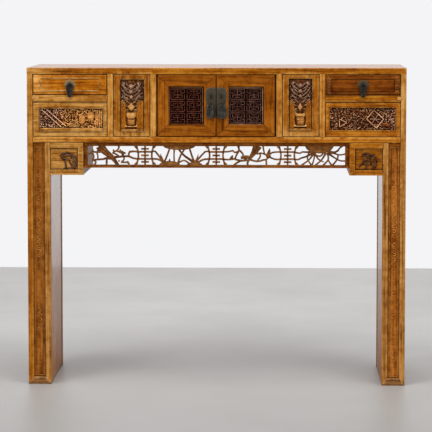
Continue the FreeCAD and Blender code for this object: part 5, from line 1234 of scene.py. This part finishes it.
# Corner brackets: a panel with a leafy shoot on it
brackets = {
    "left": {
        "board": {"look": "golden", "seed": 94.0, "wear": 0.5, "shade": 0.94},
        "leaf": {"look": "duskCarving", "seed": 97.0, "shade": 1.0, "paintedShade": 0.8},
        "strokes": [
            [(0.34, 0.60, 0.6), (0.45, 0.73, 2.0), (0.60, 0.79, 1.6), (0.71, 0.74, 0.6)],
            [(0.39, 0.51, 0.6), (0.49, 0.62, 2.2), (0.63, 0.68, 2.2), (0.78, 0.59, 0.8)],
            [(0.60, 0.64, 0.8), (0.76, 0.70, 2.0), (0.87, 0.61, 2.0), (0.94, 0.46, 0.6)],
            [(0.72, 0.52, 0.8), (0.84, 0.51, 2.4), (0.92, 0.36, 2.2), (0.94, 0.17, 0.8)],
            [(0.79, 0.36, 0.8), (0.86, 0.28, 2.2), (0.90, 0.13, 1.8), (0.87, 0.02, 0.6)],
            [(0.68, 0.34, 0.7), (0.76, 0.23, 1.9), (0.80, 0.08, 1.6), (0.76, 0.02, 0.6)],
            [(0.51, 0.45, 1.2), (0.55, 0.29, 1.6), (0.56, 0.12, 1.6), (0.55, 0.02, 1.4)],
            [(0.44, 0.42, 0.6), (0.50, 0.50, 1.5), (0.66, 0.46, 1.6), (0.71, 0.37, 0.6)],
            [(0.47, 0.03, 1.0), (0.62, 0.05, 1.5), (0.79, 0.03, 1.4), (0.89, 0.04, 0.8)],
        ],
    },
    "right": {
        "board": {"look": "amber", "seed": 95.0, "wear": 0.5, "shade": 0.86},
        "leaf": {"look": "duskCarving", "seed": 98.0, "shade": 0.95, "paintedShade": 0.8},
        "strokes": [
            [(0.25, 0.69, 0.6), (0.40, 0.77, 1.9), (0.58, 0.69, 1.7), (0.71, 0.72, 0.6)],
            [(0.22, 0.59, 0.6), (0.34, 0.66, 2.0), (0.49, 0.59, 2.0), (0.58, 0.46, 0.7)],
            [(0.54, 0.60, 0.8), (0.67, 0.64, 2.0), (0.78, 0.53, 2.0), (0.78, 0.35, 0.7)],
            [(0.64, 0.48, 0.7), (0.72, 0.36, 1.9), (0.75, 0.21, 1.9), (0.69, 0.05, 0.6)],
            [(0.57, 0.39, 0.7), (0.63, 0.26, 1.6), (0.64, 0.11, 1.5), (0.59, 0.03, 0.6)],
            [(0.29, 0.37, 0.6), (0.41, 0.49, 1.7), (0.53, 0.44, 1.7), (0.57, 0.32, 0.6)],
            [(0.40, 0.42, 1.0), (0.41, 0.25, 1.3), (0.41, 0.11, 1.3), (0.40, 0.03, 1.1)],
            [(0.23, 0.25, 0.8), (0.38, 0.28, 1.3), (0.52, 0.25, 1.2), (0.60, 0.29, 0.7)],
            [(0.15, 0.13, 0.5), (0.20, 0.22, 1.0), (0.28, 0.33, 1.0), (0.31, 0.45, 0.5)],
        ],
    },
}
bracketDepth = {"face": 0.0042, "crest": 0.0014, "rubbedAndPaintedLight": 0.0012, "behind": 0.0004}
bracketInset = 0.005
lineWide = 1.0  # how far the dark strip of painted shade shows beside a leaf, in millimetres as the strokes


def bracket(side):
    item = brackets[side]
    node = "bracket_panel_" + side
    whole = fieldOf(node)
    face = frontY + bracketDepth["face"]
    board = Shape()
    board.skin(groove(whole, face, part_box(node)[1][1]))
    finish = woodFinish("board_" + node, grain="x", shadeReach=0.009, **item["board"])
    carvedPiece("boardOf_" + node, board, finish, [node])
    field = whole.within(bracketInset)
    behind = face + bracketDepth["behind"]
    leaves, line = Shape(), Shape()  # the line is a dark strip of painted shade round every leaf
    for stroke in item["strokes"]:
        leaves.stroke(field.path(stroke), face - 0.0006, frontY + bracketDepth["crest"], behind, "leaf", 4)
        wider = [(across, up, half + lineWide) for across, up, half in stroke]
        line.stroke(field.path(wider), face - 0.0001, face - 0.0003, behind, "flat", 4)
    # where the painted highlight on the crests is full
    rubbedAndPaintedLight = frontY + bracketDepth["rubbedAndPaintedLight"]
    finish = carvingFinish("leaves_" + node, grain="x", ground=behind, crest=rubbedAndPaintedLight, **item["leaf"])
    carvedPiece("leavesOf_" + node, leaves, finish)
    # painted shade: a dark strip round the leaves
    carvedPiece("paintedShadeLineOf_" + node, line, woodFinish("paintedShadeLine_" + node, "deep", "x", 99.0, 0.0, 0.006))


for side in brackets:
    bracket(side)
print("brackets made")

# Sunk strips in the legs, with a running scroll
strips = {  # strong are the stretches, as shares of the height, where the scroll is less worn
    "left": {"strong": ((0.20, 0.33), (0.53, 0.68)), "seed": 5, "shade": 1.26},
    "right": {"strong": ((0.49, 0.57), (0.62, 0.71)), "seed": 9, "shade": 1.5},
}
strip = {
    "inset": 0.005,
    "face": 0.0040,
    "line": 0.0034,  # how far in the raised line lies, and its width
    "lineWide": 0.001,
    "cap": 0.0090,
    "capGap": 0.001,
    "first": 0.022,  # from the head to the first curl, and from the foot to the last
    "last": 0.016,
    "curl": [(-0.0065, 0.0060, 0.5), (0.0010, 0.0042, 1), (0.0055, 0, 1), (0.0005, -0.0040, 1),
             (-0.0030, -0.0010, 0.4)],  # sideways, up, share of the half width
    "strong": {"rise": 0.0012, "half": 0.0013, "step": (0.011, 0.014)},
    "weak": {"rise": 0.0004, "half": 0.0008, "step": (0.016, 0.026)},
}


def legStrip(side):
    item = strips[side]
    node = "leg_panel_front_" + side
    whole = fieldOf(node)
    field = whole.within(strip["inset"])
    face = frontY + strip["face"]
    edge, gap = strip["line"], strip["capGap"]
    line = field.inside(edge, edge, edge, edge + strip["cap"])
    raised = [(0, face), (0.4, face - 0.0010), (1.4, face - 0.0010), (2.0, face + 0.0014)]
    board = Shape()
    board.skin(framed(whole, field, [(0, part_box(node)[1][1]), (0, face)])
               + framed(line, line.within(strip["lineWide"]), raised))
    finish = woodFinish("strip_" + side, "strip", "z", 97.0 + len(side), 1.0, 0.006, item["shade"])
    carvedPiece("boardOf_" + node, board, finish, [node])
    cap = Shape()
    top = Field(field.x0 + gap, field.z1 - strip["cap"] - gap, field.x1 - gap, field.z1 - gap)
    cap.nested(top, [(0, face + 0.0006), (0, face - 0.0006), (0.0004, face - 0.0010)])
    carvedPiece("capOf_" + node, cap, woodFinish("stripCap_" + side, "door", "x", 98.0, 0.6, 0.006))
    scroll = Shape()
    dice = random.Random(item["seed"])
    middle = (field.x0 + field.x1) / 2
    z = field.z1 - strip["first"]
    while z > field.z0 + strip["last"]:
        share = (z - field.z0) / (field.z1 - field.z0)
        strong = any(first < share < last for first, last in item["strong"])
        kind = strip["strong" if strong else "weak"]
        way = dice.choice((-1, 1))
        points = [(middle + way * across, z + up, kind["half"] * part) for across, up, part in strip["curl"]]
        scroll.stroke(points, face + 0.0012, face + 0.0010 - kind["rise"], face + 0.0018, "round", 3)
        z -= dice.uniform(*kind["step"])
    finish = woodFinish("stripScroll_" + side, "strip", "z", 99.0, 1.0, 0.004, item["shade"])
    carvedPiece("scrollOf_" + node, scroll, finish)


for side in strips:
    legStrip(side)
print("leg strips made")

# Drawer fronts
drawers = {
    "left": {
        "wood": {"look": "honey", "seed": 107.0, "wear": 0.5, "shade": 1.32,
                 "second": {"look": "golden", "axis": "x", "low": -0.455, "high": -0.50}},
        "bead": {"look": "golden", "shade": 0.72},
        "field": (0.0265, 0.0105, 0.0265, 0.0105),
        "ear": [(0, 0, 1.4), (-0.006, 0.05, 1.4), (-0.0092, 0.24, 1.7), (-0.0060, 0.38, 1.7),
                (-0.0030, 0.50, 1.7)],  # lower half of an end: sideways, share up, half width in millimetres
    },
    "right": {
        "wood": {"look": "brown", "seed": 108.0, "wear": 0.5},
        "bead": {"look": "carving", "shade": 1.2},
        "field": (0.0165, 0.0085, 0.0165, 0.0125),
    },
}
drawerEdge = [(0, 0.0028), (0.0008, 0.0011), (0.0019, 0.0003), (0.0032, 0)]  # how far in, behind the face
drawerLine = {"deep": 0.0024, "raised": 0.0006, "wide": 0.001}
drawerBead = {"half": 0.0021, "low": 0.0012, "top": 0.0010, "back": 0.0020}
drawerCuts = {"count": 6, "in": 0.0085, "first": 0.0070, "apart": 0.0078}
cutLine = [  # along, down, lean, half width
    (-0.005, 0, 0, 0.0007), (0, 0.0022, 0.002, 0.0016), (0.005, 0.0040, 0.003, 0.0007),
]


def bracketBead(beads, field, ear, depths):  # a bead round the field, with bracket-shaped ends
    for z in (field.z0, field.z1):
        beads.straight((field.x0, z), (field.x1, z), drawerBead["half"], *depths, "round")
    rise = field.z1 - field.z0
    for x, way in ((field.x0, 1), (field.x1, -1)):
        lower = [(x + way * out, field.z0 + up * rise, wide / 1000) for out, up, wide in ear]
        upper = [(place, field.z0 + field.z1 - z, wide) for place, z, wide in lower[-2::-1]]
        beads.stroke(lower + upper, *depths, "round", 4)


def slantingCuts(beads, whole, depths):  # at both ends of the right drawer
    for way, x in ((1, whole.x0 + drawerCuts["in"]), (-1, whole.x1 - drawerCuts["in"])):
        for number in range(drawerCuts["count"]):
            z = whole.z1 - drawerCuts["first"] - drawerCuts["apart"] * number
            points = [(x + along, z - down - way * lean, half) for along, down, lean, half in cutLine]
            beads.stroke(points, *depths, "leaf", 3)


def drawerFront(side):
    item = drawers[side]
    node = "drawer_" + side + "_front"
    whole = fieldOf(node)
    field = whole.inside(*item["field"])
    face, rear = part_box(node)[0][1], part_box(node)[1][1]
    edge = [(0, rear)] + [(inset, face + depth) for inset, depth in drawerEdge]
    depths = face + drawerBead["low"], face - drawerBead["top"], face + drawerBead["back"]
    sink = face + drawerLine["deep"]
    board, beads = Shape(), Shape()
    if side == "left":
        board.nested(whole, edge)
        bracketBead(beads, field, item["ear"], depths)
    else:  # a plain raised field inside a sunk line
        loops = [whole.within(inset).loop(y) for inset, y in edge]
        sunk = [(-1.6, face), (-0.8, sink), (0, sink), (1.2, face + drawerLine["raised"])]
        board.skin(loops + framed(field, field.within(drawerLine["wide"]), sunk))
        slantingCuts(beads, whole, depths)
    finish = woodFinish("board_" + node, grain="x", **item["wood"])
    makePiece("boardOf_" + node, board, finish, "drawer_" + side, [node])
    worn = {**item["wood"], **item["bead"], "wear": 0.8, "shadeReach": 0.004}
    finish = woodFinish("beads_" + node, grain="x", **worn)
    makePiece("beadsOf_" + node, beads, finish, "drawer_" + side)


for side in drawers:
    drawerFront(side)
print("drawer fronts made")

# Fret panels of the doors
frets = {
    "left": {"inset": (0.0044, 0.0020, 0.0073, 0.0068), "look": "deepRed",
             "shade": 1.25, "bead": "duskCarving", "beadShade": 0.8},
    "right": {"inset": (0.0037, 0.0035, 0.0063, 0.0067), "look": "deep",
              "shade": 1.35, "bead": "plumCarving", "beadShade": 1.0},
}
fretShape = {"rim": 0.0030, "bar": 0.0008, "ground": 0.0042, "columns": 2, "rows": 3}
fretBead = [  # its section: share of its width, behind the face
    (0, 0.0042), (0, 0.0008), (0.3, -0.0004), (0.7, -0.0004), (1, 0.0008), (1, 0.0042),
]
motif = [  # one squared longevity sign, as shares of its cell
    ((0.08, 0.92), (0.92, 0.92)), ((0.08, 0.92), (0.08, 0.60)), ((0.92, 0.92), (0.92, 0.60)),
    ((0.08, 0.60), (0.34, 0.60)), ((0.66, 0.60), (0.92, 0.60)), ((0.24, 0.76), (0.42, 0.76)),
    ((0.58, 0.76), (0.76, 0.76)), ((0.50, 0.92), (0.50, 0.24)), ((0.22, 0.44), (0.78, 0.44)),
    ((0.22, 0.44), (0.22, 0.24)), ((0.78, 0.44), (0.78, 0.24)), ((0.08, 0.48), (0.08, 0.08)),
    ((0.92, 0.48), (0.92, 0.08)), ((0.08, 0.08), (0.92, 0.08)), ((0.36, 0.24), (0.64, 0.24)),
]


def fretBars(shape, cell, face, upright):  # one sign in its cell
    bar = fretShape["bar"]
    steps = [(0, face + fretShape["ground"] + 0.0002), (0, face + 0.0008), (bar * 0.5, face + 0.0002)]
    for ends in motif:
        places = [cell.at(across, up if upright else 1 - up) for across, up in ends]
        left, right = sorted(x for x, z in places)
        foot, head = sorted(z for x, z in places)
        shape.nested(Field(left - bar, foot - bar, right + bar, head + bar), steps)


def fretPanel(side):
    item = frets[side]
    node, body, slot = "door_fret_" + side, "door_" + side, "dark_lacquered_wood"
    face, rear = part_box(node)[0][1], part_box(node)[1][1]
    field = fieldOf(node, item["inset"])
    inner = field.within(fretShape["rim"])
    ground = Shape()
    ground.nested(fieldOf(node), [(0, rear), (0, face + fretShape["ground"])])
    finish = woodFinish("fretGround_" + side, item["look"], "z", 109.0, 0.2, 0.006, 0.55)
    makePiece("groundOf_" + node, ground, finish, body, [node])
    lattice = Shape()
    columns, rows = fretShape["columns"], fretShape["rows"]
    for column in range(columns):
        for row in range(rows):
            low = inner.at(column / columns, row / rows)
            high = inner.at((column + 1) / columns, (row + 1) / rows)
            fretBars(lattice, Field(*low, *high), face, row > 0)  # the lowest row stands the other way up
    finish = carvingFinish("lattice_" + side, item["look"], "z", face + 0.0044, face + 0.0001, 111.0,
                           rough=0.3, shade=item["shade"])
    makePiece("latticeOf_" + node, lattice, finish, body)
    bead = Shape()
    steps = [(share, face + depth) for share, depth in fretBead]
    bead.skin(framed(field, inner, steps), closed=True)
    finish = woodFinish("fretBead_" + side, item["bead"], "z", 112.0, 0.8, 0.006, item["beadShade"])
    makePiece("beadOf_" + node, bead, finish, body)


for side in frets:
    fretPanel(side)
print("door frets made")

# Worn tabs where the rails cross the posts
tabs = {  # of the two drawer rails: middle and half sizes on the front, in metres
    "left": ((-0.5020, 0.7990), (0.0098, 0.0082)),
    "right": ((0.5060, 0.8010), (0.0066, 0.0050)),
}
tabRise = 0.0010


def rounded(value):  # turns a circle into a rounded oblong
    return math.copysign(abs(value) ** 0.5, value)


def railTab(side):
    (middleX, middleZ), (wide, tall) = tabs[side]
    points = [(middleX + rounded(cosine) * wide, middleZ + rounded(sine) * tall)
              for cosine, sine in circle(24)]
    steps = [(1.0, frontY + 0.0002), (1.0, frontY), (0.93, frontY - tabRise * 0.8), (0.70, frontY - tabRise)]
    shape = Shape()
    shape.outline(points, (middleX, middleZ), steps)
    finish = woodFinish("tab_" + side, "golden", "x", 113.0, 0.4, 0.003, 0.96)
    makePiece("tabOf_drawer_rails_" + side, shape, finish, "table")


for side in tabs:
    railTab(side)
print("rail tabs made")

# Metal fittings
fittings = {
    "plate": 0.0012,
    "gap": 0.0003,
    "ringRadius": 0.006,
    "ringWire": 0.0010,
    "leg": 0.010,
    "legHalf": 0.0009,
    "hole": 0.0019,
    "holeDown": 0.008,  # from the head of a pull
    "lockAbove": 0.025,  # from the ring of a door's pull to its lock staple
    "lockIn": 0.003,
}
ringY = frontY - fittings["plate"] - fittings["gap"] - fittings["ringRadius"] - fittings["ringWire"]
drawerPlate = {"wide": 0.033, "tall": 0.026, "lobes": 8, "cut": 0.16, "turns": 96}
drawerPull = [  # half of its outline: share of the half width, share down
    (0.0, 0.0), (0.52, 0.03), (0.88, 0.14), (1.0, 0.30), (0.92, 0.46), (0.76, 0.60), (0.66, 0.74),
    (0.52, 0.87), (0.28, 0.965), (0.0, 1.0),
]
doorPull = [
    (0.0, 0.0), (0.50, 0.02), (0.80, 0.12), (0.88, 0.24), (0.94, 0.40), (1.0, 0.58), (0.96, 0.75),
    (0.78, 0.89), (0.46, 0.975), (0.0, 1.0),
]
doorPlate = [  # its whole outline: share inwards, share up
    (1.0, 0.0), (0.70, 0.0), (0.44, 0.03), (0.24, 0.10), (0.12, 0.20), (0.08, 0.32), (0.10, 0.46),
    (0.04, 0.56), (0.0, 0.66), (0.0, 0.84), (0.05, 0.92), (0.16, 0.975), (0.34, 1.0), (1.0, 1.0),
]


def metalPiece(name, shape, finish, body, standsFor=()):
    makePiece(name, shape, finish, body, standsFor)


def fitRing(shape, x, z):  # a ring staple and its legs in the wood
    shape.ring((x, ringY, z), fittings["ringRadius"], fittings["ringWire"])
    half = fittings["legHalf"]
    start = ringY + fittings["ringRadius"]
    legs = Field(x - half, z - half, x + half, z + half)
    shape.skin([legs.loop(start), legs.loop(start + fittings["leg"])])


def fitPull(name, node, half, metal, seed):  # a flat drop with a hole, filling the outline of its node
    low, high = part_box(node)
    x, z = (low[0] + high[0]) / 2, high[2]
    wide, tall = (high[0] - low[0]) / 2, high[2] - low[2]
    line = smoothLine([(across * wide, down * tall, 0) for across, down in half], 4)
    points = [(x + across, z - down) for across, down, _ in line]
    points += [(x - across, z - down) for across, down, _ in line[-2:0:-1]]
    middle, hole = z - fittings["holeDown"], []
    for px, pz in points:
        angle = math.atan2(pz - middle, px - x)
        hole.append((x + math.cos(angle) * fittings["hole"], middle + math.sin(angle) * fittings["hole"]))
    front, rear = low[1], high[1]
    skin = front + 0.0004
    steps = [(1.0, rear), (1.0, front + 0.0007), (0.90, front + 0.0001), (0.80, skin)]
    loops = [[(px, rear, pz) for px, pz in hole]]
    loops += steppedLoops(points, (x, z - tall * 0.45), steps)
    loops += [[(px, skin, pz) for px, pz in hole]]
    shape = Shape()
    shape.skin(loops, closed=True)
    metalPiece(name, shape, metalFinish("metal_" + name, metal, seed, 0.35), node, [node])


def ringPlace(pullNode):  # the middle of the ring that a pull hangs on
    low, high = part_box(pullNode)
    return (low[0] + high[0]) / 2, high[2] - fittings["holeDown"] + fittings["ringRadius"]


def drawerFitting(side):  # a scalloped plate, its staple and its pull
    node, pullNode, body = "drawer_" + side + "_plate", "drawer_" + side + "_pull", "drawer_" + side
    low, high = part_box(node)
    x, z = (low[0] + high[0]) / 2, (low[2] + high[2]) / 2
    points = []
    for number, (cosine, sine) in enumerate(circle(drawerPlate["turns"])):
        lobe = abs(math.cos(math.pi * drawerPlate["lobes"] * number / drawerPlate["turns"]))
        reach = 1 - drawerPlate["cut"] * (1 - lobe)
        points.append((x + cosine * drawerPlate["wide"] / 2 * reach,
                       z + sine * drawerPlate["tall"] / 2 * reach))
    front = frontY - fittings["plate"]
    shape = Shape()
    sunk = front + 0.0006
    steps = [(1.0, frontY), (1.0, front + 0.0005), (0.92, front), (0.74, sunk), (0.62, sunk), (0.30, front)]
    shape.outline(points, (x, z), steps)
    metal = "drawerPlate" if side == "left" else "darkPlate"
    finish = metalFinish("metal_plate_" + side, metal, float(len(side)))
    metalPiece("plateOf_drawer_" + side, shape, finish, body, [node])
    staple = Shape()
    fitRing(staple, *ringPlace(pullNode))
    metalPiece("stapleOf_drawer_" + side, staple, metalFinish("metal_staple_" + side, "staple"), body)
    fitPull("pullOf_drawer_" + side, pullNode, drawerPull, "pull", 7.0 + len(side))


def doorFitting(side, way):  # half of the split plate, its two staples and its pull
    node, pullNode, body = "door_plate_" + side, "door_pull_" + side, "door_" + side
    low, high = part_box(node)
    outer, inner = (low[0], high[0]) if side == "left" else (high[0], low[0])
    foot, tall = low[2], high[2] - low[2]
    points = [(outer + u * (inner - outer), foot + v * tall) for u, v in doorPlate]
    centre = (outer + 0.6 * (inner - outer), foot + 0.5 * tall)
    front = frontY - fittings["plate"]
    shape = Shape()
    shape.outline(points, centre, [(1.0, frontY), (1.0, front + 0.0005), (0.95, front), (0.60, front)])
    finish = metalFinish("metal_doorPlate_" + side, "plate", 9.0 + way)
    metalPiece("plateOf_door_" + side, shape, finish, body, [node])
    staples = Shape()
    x, z = ringPlace(pullNode)
    fitRing(staples, x, z)
    fitRing(staples, x - way * fittings["lockIn"], z + fittings["lockAbove"])
    metalPiece("staplesOf_door_" + side, staples, metalFinish("metal_doorStaple_" + side, "staple"), body)
    fitPull("pullOf_door_" + side, pullNode, doorPull, "doorPull", 11.0 + way)


for side, way in (("left", -1), ("right", 1)):
    drawerFitting(side)
    doorFitting(side, way)
print("metal made")

# Finishes of the pieces that keep their CAD shape
keptPieces = [
    (["top_rail_front"], {"look": "golden", "grain": "x", "wear": 0.6, "coat": "top", "shade": 0.98,
                          "second": {"look": "honey", "axis": "x", "low": -0.52, "high": -0.38}}),
    (["top_rail_back"], {"look": "honey", "grain": "x", "wear": 0.4, "coat": "top"}),
    (["top_rails_end"], {"look": "honey", "grain": "y", "wear": 0.5, "coat": "top"}),
    (["top_panel"], {"look": "honey", "grain": "x", "wear": 0.3, "coat": "top"}),
    (["corner_post_front_left"], {"look": "golden", "grain": "z", "wear": 0.5,
                                  "second": {"look": "amber", "axis": "z", "low": 0.70, "high": 0.60}}),
    (["corner_post_front_right"], {"look": "golden", "grain": "z", "wear": 0.5,
                                   "second": {"look": "post", "axis": "z", "low": 0.70, "high": 0.60}}),
    (["corner_posts_back"], {"look": "honey", "grain": "z", "wear": 0.4}),
    (["bay_posts"], {"look": "golden", "grain": "z", "wear": 0.5, "shade": 1.1,
                     "second": {"look": "amber", "axis": "x", "low": 0.0, "high": 0.6}}),
    (["case_rail_front"], {"look": "golden", "grain": "x", "wear": 0.8, "shade": 1.12,
                           "second": {"look": "amber", "axis": "x", "low": -0.44, "high": -0.36}}),
    (["case_rail_back"], {"look": "honey", "grain": "x"}),
    (["case_rails_end"], {"look": "honey", "grain": "y"}),
    (["drawer_rails"], {"look": "golden", "grain": "x", "wear": 0.4,
                        "second": {"look": "honey", "axis": "x", "low": -0.2, "high": 0.2}}),
    (["case_floor", "case_back"], {"look": "plain", "grain": "x", "wear": 0.2}),
    (["case_panels_end"], {"look": "honey", "grain": "y", "wear": 0.4}),
    (["partitions", "drawer_runners"], {"look": "plain", "grain": "y", "wear": 0.2}),
    (["leg_panels_back", "leg_panels_end"], {"look": "honey", "grain": "z", "wear": 0.4}),
    (["leg_stiles_front"], {"look": "post", "grain": "z", "wear": 0.6, "shade": 0.95}),
    (["leg_stiles_back"], {"look": "honey", "grain": "z"}),
    (["foot_rails"], {"look": "foot", "grain": "x", "wear": 0.8, "shade": 1.4}),
    (["foot_rails_end"], {"look": "foot", "grain": "y", "wear": 0.8, "shade": 1.4}),
    (["leg_cheeks"], {"look": "honey", "grain": "z", "wear": 0.3, "coat": "side"}),
    (["bracket_frame_left"], {"look": "golden", "grain": "x", "wear": 0.5, "shade": 0.9}),
    (["bracket_frame_right"], {"look": "amber", "grain": "x", "wear": 0.5}),
    (["bracket_boards"], {"look": "honey", "grain": "y", "wear": 0.4}),
    (["apron_frame"], {"look": "brown", "grain": "x", "wear": 0.6}),
    (["drawer_left_box", "drawer_right_box", "drawer_left_bottom", "drawer_right_bottom"],
     {"look": "plain", "grain": "y", "wear": 0.2}),
    (["door_pivot_stile_left", "door_pivot_stile_right"], {"look": "door", "grain": "z", "shade": 1.18}),
    (["door_meeting_stile_left", "door_meeting_stile_right"], {"look": "door", "grain": "z", "shade": 1.1}),
    (["door_rails_left", "door_rails_right"], {"look": "door", "grain": "x"}),
]
finished = 0
for nodes, settings in keptPieces:
    for node in nodes:
        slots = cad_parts[node].data.materials
        slots.clear()
        slots.append(woodFinish("wood_" + node, seed=1.0 + 0.73 * finished, **settings))
        finished += 1
print("finishes given to", finished, "nodes")
